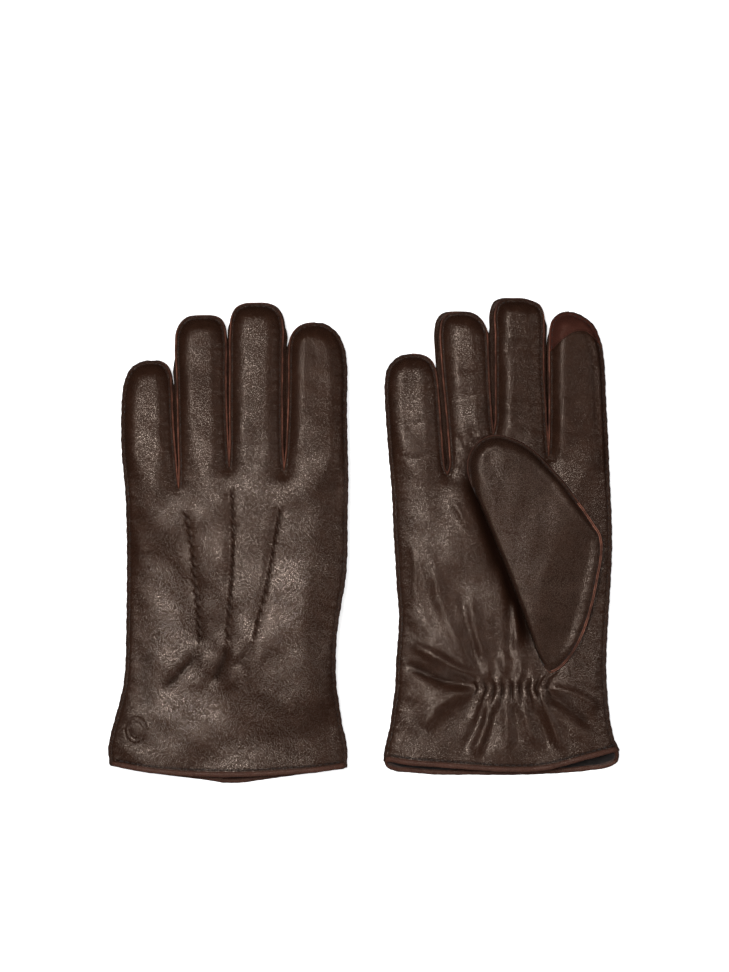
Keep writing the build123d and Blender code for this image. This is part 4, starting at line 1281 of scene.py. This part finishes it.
def build_layer(glove, layer):
    outline = OUTLINES[glove, layer]
    kind = face_of(glove, layer)
    palm = kind == "palm"
    cuts = []
    for n, finger in enumerate(FINGERS):
        for y in LIMBS[glove, finger][:2]:
            low_x, high_x = outline.crossing(y, n)
            cuts.append([(low_x - 0.25, y), (high_x + 0.25, y)])
    if palm:
        cuts.append(TOUCH[glove])
    fine = lambda grid: fine_places(glove, kind, grid)
    points, triangles = triangulate(outline, cuts, fine, () if palm else BACK_ROWS[glove])
    height, depth, near = half_height(glove, layer, points)
    seam_depth = depth.copy()
    bare = 0.12 + 0.88 * np.clip((outline.edge[near] - 1.05) / 0.9, 0, 1)
    if palm:                           # the touch patch: a fine groove and a small step
        curve = spline(TOUCH[glove])
        gap = line_distance(points, curve)[0]
        tip = regions_of(glove, outline, points) == 8
        patch = tip & (points[:, 1] > np.interp(points[:, 0], *curve.T))
        height = height - np.where(tip, 0.30 * bell(gap, 0.45), 0)
        height = height - np.where(patch, 0.22 * bell(gap, 2.0), 0)
        below = np.minimum(seam_depth, gap + 0.5)
        seam_depth = np.where(tip & ~patch, below, seam_depth)
        seam_depth = np.where(patch & (gap < 0.9), gap + 0.12, seam_depth)
        bare = np.where(tip & (gap < 1.2), 1.0, bare)
    else:
        for row in BACK_ROWS[glove]:
            gap = line_distance(points, spline(row, 1.0))[0]
            seam_depth = np.minimum(seam_depth, np.where(gap < 4, gap + 1.5, 99))
    names = [f"{glove}_{kind}_hand"] + [f"{glove}_{region}_{kind}" for region in REGIONS[1:]]
    if palm:
        names.append(f"{glove}_touch_tip")
    pieces = leather_pieces(
        outline, points, triangles, place(glove, layer, points, height), near,
        face_up=layer == "upper",
        regions=regions_of(glove, outline, points[triangles].mean(1), touch=palm),
        names=names, materials=[M_LEATHER, M_FLESH, M_EDGE],
        # painted highlight and painted shade on the upper leathers: the glint map
        painted_glint=(lambda verts: painted_glint_map(glove, verts)) if layer == "upper" else None,
        # crease: painted shade at the bottom of the creases
        seam_d=seam_depth, bare=bare, crease=crease_shade_field(glove, layer, points, depth))
    for region, piece in enumerate(pieces):
        patch = region == TOUCH_REGION
        attach(piece, glove, region)
        if patch:
            piece.data.materials[0] = M_TOUCH
    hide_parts(f"{glove}_{kind}_panel",
                f"{glove}_wrist_elastic" if palm else f"{glove}_point_stitching")
    for n, finger in enumerate(FINGERS):
        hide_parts(f"{glove}_{finger}_base_{kind}")
        if not palm:
            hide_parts(f"{glove}_{finger}_tip_leather")
    if palm:
        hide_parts(f"{glove}_index_touch_patch")


def touch_seam(glove):
    """The thin raw edge of the touch leather where it overlaps the fingertip."""
    layer = "upper" if glove == "right" else "lower"
    outline = OUTLINES[glove, layer]
    curve = spline(TOUCH[glove], 0.6)
    curve = curve[outline.inside(curve)]
    curve = curve[outline.nearest(curve)[0] > 0.9]
    sink = 0.18 if layer == "upper" else -0.18
    centre = np.column_stack([curve, height_at(glove, layer, curve) - sink])
    points, faces = cord(centre, wide=0.30, tall=0.22)
    seam = make_object(f"{glove}_touch_seam", points, faces, [M_TOUCH], seam_d=1.6)
    attach(seam, glove, TOUCH_REGION)


# ------------------------------------------------------------------ side strips between fingers
WALL_DROP = 0.86                       # start of the strip, in from the leather's outer face
# Sewn lip along each leather: reach out from the edge, depth in from the leather's outer face.
WALL_LIP = ((-2.2, WALL_DROP), (0.46, 0.87), (0.60, 1.15), (0.46, 1.55), (-1.3, 1.72),
            (-1.9, 2.2))
# Between the lips: reach where there is no room, share of the way to the lower leather.
WALL_MIDDLE = ((-1.25, 0.36), (-0.75, 0.5), (-1.25, 0.64))
WALL_POINTS = 2 * len(WALL_LIP) + len(WALL_MIDDLE)
WALL_RAW = (1, 2, 11, 12)              # strips of faces that are raw edge


def slot_width(glove, number, points):
    """Room between a finger's edge and its neighbour's, at the same height."""
    outline = OUTLINES[glove, "upper"]
    width = np.full(len(points), 99.0)
    for other in (number - 1, number + 1):
        edge_x, edge_y = outline.points[outline.kind == other].T
        for i, (x, y) in enumerate(points):
            gap = (edge_x[np.abs(edge_y - y) < 0.6] - x) * (1 if other > number else -1)
            gap = gap[gap > -0.5]
            if len(gap):
                width[i] = min(width[i], max(0.0, gap.min()))
    return width


def wall_sections(glove, number):
    """The upper edge beside a finger's slots, the room below it, and the strip's sections."""
    finger = FINGERS[number]
    high = spline(UPPER[glove][finger], 0.9)
    low = lower_stretch(glove, finger)
    high_run, low_run = lengths(high), lengths(low)
    low = sample(low, high_run / high_run[-1] * low_run[-1], low_run)
    top = int(np.argmax(high[:, 1]))
    part = slice(top if finger == "pinky" else 0, top + 1 if finger == "index" else None)
    high, low = high[part], low[part]
    forward = unit(np.gradient(high, axis=0))
    out = np.stack([-forward[:, 1], forward[:, 0]], 1)     # the tables run clockwise
    high_z = height_at(glove, "upper", high)
    low_z = height_at(glove, "lower", low)
    gap = high_z - low_z
    root = root_distance(high, finger)
    grow = 0.35 + 0.65 * ease(root / 7)
    room = np.clip((gap - 1.8) / 3.0, 0, 1)
    # in a narrow slot the strips bulge until they meet, and more at the slot's foot
    slot = slot_width(glove, number, high)
    wide = ease((slot - 4.6) / 3.0)
    bulge = smooth(((slot * 0.5 + 0.04) * (1 - wide) + 0.55 * wide) * room, 4, "edge")
    bulge = bulge + 0.9 * (1 - ease(root / 4.5)) * room

    def section(curve, reach, z):
        return np.column_stack([curve + out * reach[:, None], z])

    def lip(curve, edge_z, down):
        return [section(curve, reach * np.where(reach > 0, grow, 1.0),
                        edge_z - down * (WALL_DROP + (drop - WALL_DROP) * room))
                for reach, drop in WALL_LIP]

    middle = [section(high * (1 - share) + low * share,
                      reach * (1 - room) + room * (bulge - (0.0 if reach > -1 else 0.5)),
                      high_z + (low_z - high_z) * share)
              for reach, share in WALL_MIDDLE]
    sections = lip(high, high_z, 1) + middle + lip(low, low_z, -1)[::-1]
    return high, gap, np.stack(sections, 1)


def build_walls(glove):
    """The side strips, from the upper leather's cut edge down to the lower one's."""
    groups = {}
    for n, finger in enumerate(FINGERS):
        edge, gap, sections = wall_sections(glove, n)
        y = ((edge[:-1] + edge[1:]) / 2)[:, 1]
        low, cut, _ = LIMBS[glove, finger]
        regions = np.where(y < low, 0, np.where(y < cut, 1 + 2 * n, 2 + 2 * n))
        for region in np.unique(regions):
            if gap[:-1][regions == region].max() < 2.2:
                continue
            ids = np.where(regions == region)[0]
            for run in np.split(ids, np.where(np.diff(ids) > 1)[0] + 1):
                points = sections[run[0]:run[-1] + 2].reshape(-1, 3)
                corners = [i * WALL_POINTS + k
                           for i in range(len(run)) for k in range(WALL_POINTS - 1)]
                faces = [(c, c + WALL_POINTS, c + WALL_POINTS + 1, c + 1) for c in corners]
                groups.setdefault(int(region), []).append((points, faces))
    for region, parts in sorted(groups.items()):
        points, faces = merge(parts)
        slots = [1 if face[0] % WALL_POINTS in WALL_RAW else 0 for face in faces]
        part = REGIONS[region] if region else "hand_root"
        strips = make_object(f"{glove}_{part}_side_strips", points, faces, [M_WALL_PAINTED_SHADE, M_EDGE],
                             slots, seam_d=3.0, bare=0.75)
        attach(strips, glove, region)
        if region:
            finger = FINGERS[(region - 1) // 2]
            half = "base" if region % 2 else "tip"
            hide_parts(f"{glove}_{finger}_{half}_fourchette")


def build_gussets(glove):
    """The filler at the foot of each slot, where two side strips are sewn together."""
    sides = 12
    angle = np.linspace(0, 2 * math.pi, sides, endpoint=False)
    parts = []
    for x, y in CROTCHES[glove]:
        y += 3.0
        foot = np.array([[x, y - 4.6]])
        high = float(height_at(glove, "upper", foot)[0])
        low = float(height_at(glove, "lower", foot)[0])
        if glove == "left":
            top, bottom = high - 2.6, low + 1.2
        else:
            top, bottom = min(high, MID[glove] + 3.0) - 1.5, max(low, 0.0) + 1.0
        stations = ((bottom, 0.35), (bottom + 0.5, 0.9), ((bottom + top) / 2, 1.0),
                    (top - 0.5, 0.9), (top, 0.35))        # height, share of full size
        points = np.concatenate([
            np.stack([x + 1.0 * size * np.cos(angle), y + 4.4 * size * np.sin(angle),
                      np.full(sides, z)], 1) for z, size in stations])
        faces = band_faces(len(stations), sides, caps=True)
        parts.append((points, outward_faces(points, faces)))
    gussets = make_object(f"{glove}_crotch_gussets", *merge(parts), [M_WALL_PAINTED_SHADE], seam_d=3.0)
    attach(gussets, glove, 0)


# ------------------------------------------------------------------ stitches
def build_stitches(glove):
    piles = {}
    for layer, up in (("upper", 1), ("lower", -1)):
        outline = OUTLINES[glove, layer]

        def height(points):
            return height_at(glove, layer, points)

        at = np.arange(1.0, outline.run[-1], STITCH_PITCH)
        ends, fits = [], True
        for along in (at, at + STITCH_LENGTH):
            ids = np.clip(np.searchsorted(outline.run, along), 0, len(outline.points) - 1)
            end = sample(outline.points, along, outline.run) - outline.out[ids] * SEAM_INSET
            fits = fits & (outline.kind[ids] != HEM)
            fits = fits & (outline.nearest(end)[0] > SEAM_INSET * 0.8)
            ends.append(end)
        starts, stops = (end[fits] for end in ends)
        regions = regions_of(glove, outline, (starts + stops) / 2)
        for region, loop in zip(regions, stitches_between(starts, stops, height, up)):
            piles.setdefault(int(region), []).append(loop)
        # the row that holds the cuff binding
        row = hem_row(glove, layer)
        run = lengths(row)
        at = np.arange(0.5, run[-1] - 2.5, STITCH_PITCH)
        starts, stops = sample(row, at, run), sample(row, at + STITCH_LENGTH, run)
        piles.setdefault(0, []).extend(stitches_between(starts, stops, height, up))
    for region, stitches in sorted(piles.items()):
        thread = thread_object(f"{glove}_{REGIONS[region]}_stitches", stitches)
        attach(thread, glove, region)


# ------------------------------------------------------------------ cuff
CUFF_STEP = 0.8
CUFF_JOINT_X = {"right": 24.2, "left": -75}      # where the binding's ends overlap
LINING_DEPTHS = [1.15, 1.7, 2.5, 4, 6.5, 10, 14, 19, 25, 32, 40, 48]   # rows, in from the hem


def hem_loop(glove):
    """The cuff's edge, along the upper hem and back along the lower one, with the length at
    each point."""
    high = spline(HEMS[glove, "upper"], CUFF_STEP)
    low = spline(HEMS[glove, "lower"], CUFF_STEP)[::-1]
    high = np.column_stack([high, height_at(glove, "upper", high) - 0.35])
    low = np.column_stack([low, height_at(glove, "lower", low) + 0.35])
    loop = np.concatenate([high[1:-1], low[1:-1], high[1:2]])
    for _ in range(3):
        loop[1:-1] = 0.5 * loop[1:-1] + 0.25 * (loop[:-2] + loop[2:])
        loop[0] = loop[-1] = 0.5 * loop[0] + 0.25 * (loop[1] + loop[-2])
    run = lengths(loop)
    at = np.linspace(0, run[-1], int(run[-1] / CUFF_STEP), endpoint=False)
    return sample(loop, at, run), at


def build_binding(glove, loop, at):
    forward = unit(np.roll(loop, -1, 0) - np.roll(loop, 1, 0))
    across = np.tile([0.0, 1.0, 0.0], (len(loop), 1))
    across = unit(across - forward * np.sum(across * forward, 1)[:, None])
    angle = at * 2 * math.pi
    wobble = (0.10 * np.sin(angle / 13 + 1) + 0.08 * np.sin(angle / 7.3)
              + 0.07 * np.sin(angle / 4.1))
    joint = bell(loop[:, 0] - CUFF_JOINT_X[glove], 3.2)
    if glove == "right":
        joint = joint * (loop[:, 2] > MID[glove])
    points, faces = tube(
        loop + across * 1.15, across, np.cross(forward, across),
        wide=1.45 + wobble * 0.5 + 0.25 * joint, tall=0.98 + wobble * 0.35 + 0.35 * joint,
        sides=14, closed=True, power=2.3)
    points[:, 2] = np.maximum(points[:, 2], 0.1)
    binding = make_object(f"{glove}_cuff_edge_binding", points, faces, [M_BINDING], seam_d=4.0)
    attach(binding, glove, 0)
    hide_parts(f"{glove}_cuff_binding")


def build_lining(glove, loop, at):
    """The lining runs back from the binding into the hand."""
    outline = OUTLINES[glove, "upper"]
    hem = HEMS[glove, "upper"]
    low_x, high_x = loop[:, 0].min(), loop[:, 0].max()
    share = (loop[:, 0] - low_x) / (high_x - low_x)
    on_upper = np.arange(len(loop)) < len(spline(hem, CUFF_STEP))
    rows = []
    for k, depth in enumerate(LINING_DEPTHS):
        y = loop[:, 1] + 1.2 + depth
        level = float(np.clip(np.mean(y), max(hem[0][1], hem[-1][1]) + 0.6, 0))
        left = outline.crossing(level, FINGERS.index("pinky"))[0]
        right = outline.crossing(level, FINGERS.index("index"))[1]
        settle = min(1, depth / 6)
        inset = 1.2 + 1.6 * settle
        x = left + inset + share * (right - left - 2 * inset)
        points = np.stack([x, np.maximum(y, outline.points[:, 1].min() + 1.0)], 1)
        high_z = height_at(glove, "upper", points)
        low_z = height_at(glove, "lower", points)
        clearance = np.interp(depth, [1.15, 2.0, 3.0], [0.45, 1.0, 1.3]) + 1.3 * settle
        half = np.maximum((high_z - low_z) / 2 - clearance, 0.2)
        z = (high_z + low_z) / 2 + np.where(on_upper, half, -half)
        z = z + 0.12 * np.sin(at * 2.1 + k * 1.7) + 0.10 * np.sin(at * 0.83 + k)
        for _ in range(2):
            z = (np.roll(z, 1) + 2 * z + np.roll(z, -1)) / 4
        rows.append(np.stack([x, y, z], 1))
    lining = make_object(f"{glove}_inner_lining", np.concatenate(rows),
                         band_faces(len(rows), len(loop)), [M_LINING])
    attach(lining, glove, 0)
    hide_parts(f"{glove}_hand_lining")


# ------------------------------------------------------------------ thumb
def thumb_bare(glove, points):
    """The thumb's cut edge is bright along its high-x side and its low end, dark elsewhere."""
    x, y = on_palm(glove, points).T
    return 0.25 + 0.75 * np.maximum(ease((103.2 - x) / -18), ease((-12.3 - y) / 16))


def build_thumb_leathers(glove):
    outline = THUMB_OUTLINES[glove]
    for layer in ("outer", "inner"):
        points, triangles = triangulate(outline)
        z, depth, near = thumb_height(glove, layer, points)
        piece, = leather_pieces(
            outline, points, triangles, z, near,
            face_up=(layer == "outer") == (glove == "right"),
            regions=np.zeros(len(triangles), int), names=[f"{glove}_thumb_{layer}"],
            materials=[M_THUMB, M_FLESH, M_EDGE], seam_d=depth + 4.0 * outline.soft[near],
            bare=thumb_bare(glove, points), crease=np.zeros(len(points)))
        attach_thumb(piece)
        if layer == "outer":
            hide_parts(f"{glove}_thumb_leather", f"{glove}_thumb_lining")


def build_thumb_raw_edge(glove):
    """The raw edges of both leathers show as two thin lines along the seam."""
    outline = THUMB_OUTLINES[glove]
    seam = np.where((outline.soft < 0.12) & (thumb_bare(glove, outline.points) > 0.6))[0]
    gap = np.where(np.diff(seam) > 1)[0]
    if len(gap):                       # start after the break, so that the line is whole
        seam = np.roll(seam, -(gap[0] + 1))
    edge, out = outline.points[seam], outline.out[seam]
    up = 1.0 if glove == "right" else -1.0
    parts = []
    for offset, lift, radius in ((0.10, -0.30, 0.30), (-0.62, 0.10, 0.20)):
        z = thumb_height(glove, "outer", edge - out * max(0.05, -offset))[0] + up * lift
        centre = np.column_stack([edge + out * offset, z])
        centre = np.stack([smooth(column, 2, "edge") for column in centre.T], 1)
        parts.append(cord(centre, radius, radius * 0.8))
    raw_edge = make_object(f"{glove}_thumb_raw_edge", *merge(parts), [M_EDGE], bare=1.0)
    attach_thumb(raw_edge)


def build_thumb_stitches(glove):
    outline = THUMB_OUTLINES[glove]
    at = np.arange(0.5, outline.run[-1] - 2.5, STITCH_PITCH)
    first, last = (
        np.clip(np.searchsorted(outline.run, along), 0, len(outline.points) - 1)
        for along in (at, at + STITCH_LENGTH))
    sewn = (outline.soft[first] < 0.2) & (outline.soft[last] < 0.2)
    line = outline.points - outline.out * SEAM_INSET
    stitches = []
    for layer in ("outer", "inner"):
        up = 1 if (layer == "outer") == (glove == "right") else -1
        stitches += stitches_between(
            line[first[sewn]], line[last[sewn]],
            lambda points: thumb_height(glove, layer, points)[0], up)
    thread = thread_object(f"{glove}_thumb_stitches", stitches)
    attach_thumb(thread)


def build_glove(glove):
    for layer in ("upper", "lower"):
        build_layer(glove, layer)
    touch_seam(glove)
    build_walls(glove)
    build_gussets(glove)
    build_stitches(glove)
    loop, at = hem_loop(glove)
    build_binding(glove, loop, at)
    build_lining(glove, loop, at)
    build_thumb_leathers(glove)
    build_thumb_raw_edge(glove)
    build_thumb_stitches(glove)


# ------------------------------------------------------------------ floor, light and camera, m
def build_floor(half):
    """A pale floor that glows a little and lights nothing by reflection."""
    material, g = new_material("pale_floor")
    diffuse = g.node("ShaderNodeBsdfDiffuse", {"Color": (0.93, 0.93, 0.93, 1)})
    glow = g.node("ShaderNodeEmission", {"Color": (1, 1, 1, 1), "Strength": 0.72})
    both = g.node("ShaderNodeAddShader", {0: diffuse.outputs[0], 1: glow.outputs[0]})
    g.node("ShaderNodeOutputMaterial", {0: both.outputs[0]})
    mesh = bpy.data.meshes.new("floor")
    corners = [(-half, -half, 0.0), (half, -half, 0.0), (half, half, 0.0), (-half, half, 0.0)]
    mesh.from_pydata(corners, [], [(0, 1, 2, 3)])
    floor = bpy.data.objects.new("floor", mesh)
    mesh.materials.append(material)
    bpy.context.scene.collection.objects.link(floor)
    floor.visible_glossy = False
    floor.visible_diffuse = False


def build_world():
    """White to the camera, and nearly dark as a light."""
    world = bpy.data.worlds.new("studio")
    bpy.context.scene.world = world
    g = Graph(world)
    seen = g.node("ShaderNodeBackground", {"Color": (1, 1, 1, 1), "Strength": 1.0})
    lit = g.node("ShaderNodeBackground", {"Color": (0.95, 0.97, 1.0, 1), "Strength": 0.025})
    rays = g.node("ShaderNodeLightPath")
    mixed = g.node("ShaderNodeMixShader", {
        0: rays.outputs["Is Camera Ray"], 1: lit.outputs[0], 2: seen.outputs[0]})
    g.node("ShaderNodeOutputWorld", {0: mixed.outputs[0]})


def softbox(name, location, size, power):
    """A rectangular light aimed at the origin."""
    light = bpy.data.lights.new(name, "AREA")
    light.shape = "RECTANGLE"
    light.size, light.size_y = size
    light.energy = power
    box = bpy.data.objects.new(name, light)
    box.location = location
    box.rotation_mode = "QUATERNION"
    box.rotation_quaternion = (-Vector(location)).to_track_quat("-Z", "Y")
    bpy.context.scene.collection.objects.link(box)


def build_camera(centre, distance, view_width, sensor=36.0):
    """Looks straight down; view_width is what it sees at the given distance."""
    data = bpy.data.cameras.new("camera")
    camera = bpy.data.objects.new("camera", data)
    bpy.context.scene.collection.objects.link(camera)
    camera.location = Vector(centre) + Vector((0, 0, distance + 0.007))
    data.sensor_width = sensor
    data.lens = sensor * distance / view_width
    data.clip_start = 0.05
    data.clip_end = 20
    bpy.context.scene.camera = camera


for glove_name in GLOVES:
    build_glove(glove_name)
build_floor(half=3.0)
build_world()
softbox("key", location=(-0.36, 0.30, 2.0), size=(0.50, 0.55), power=33)
softbox("left", location=(-1.3, 0.25, 1.5), size=(1.2, 1.4), power=6)
softbox("fill", location=(1.5, 0.1, 1.2), size=(0.4, 1.2), power=6)
softbox("front", location=(0.1, -1.7, 0.9), size=(1.6, 0.4), power=6)
build_camera(centre=(-0.00042, 0.0269, 0.0), distance=1.6, view_width=0.5152)
bpy.context.scene.view_settings.view_transform = "Standard"
bpy.context.scene.view_settings.look = "None"

bpy.context.view_layer.update()
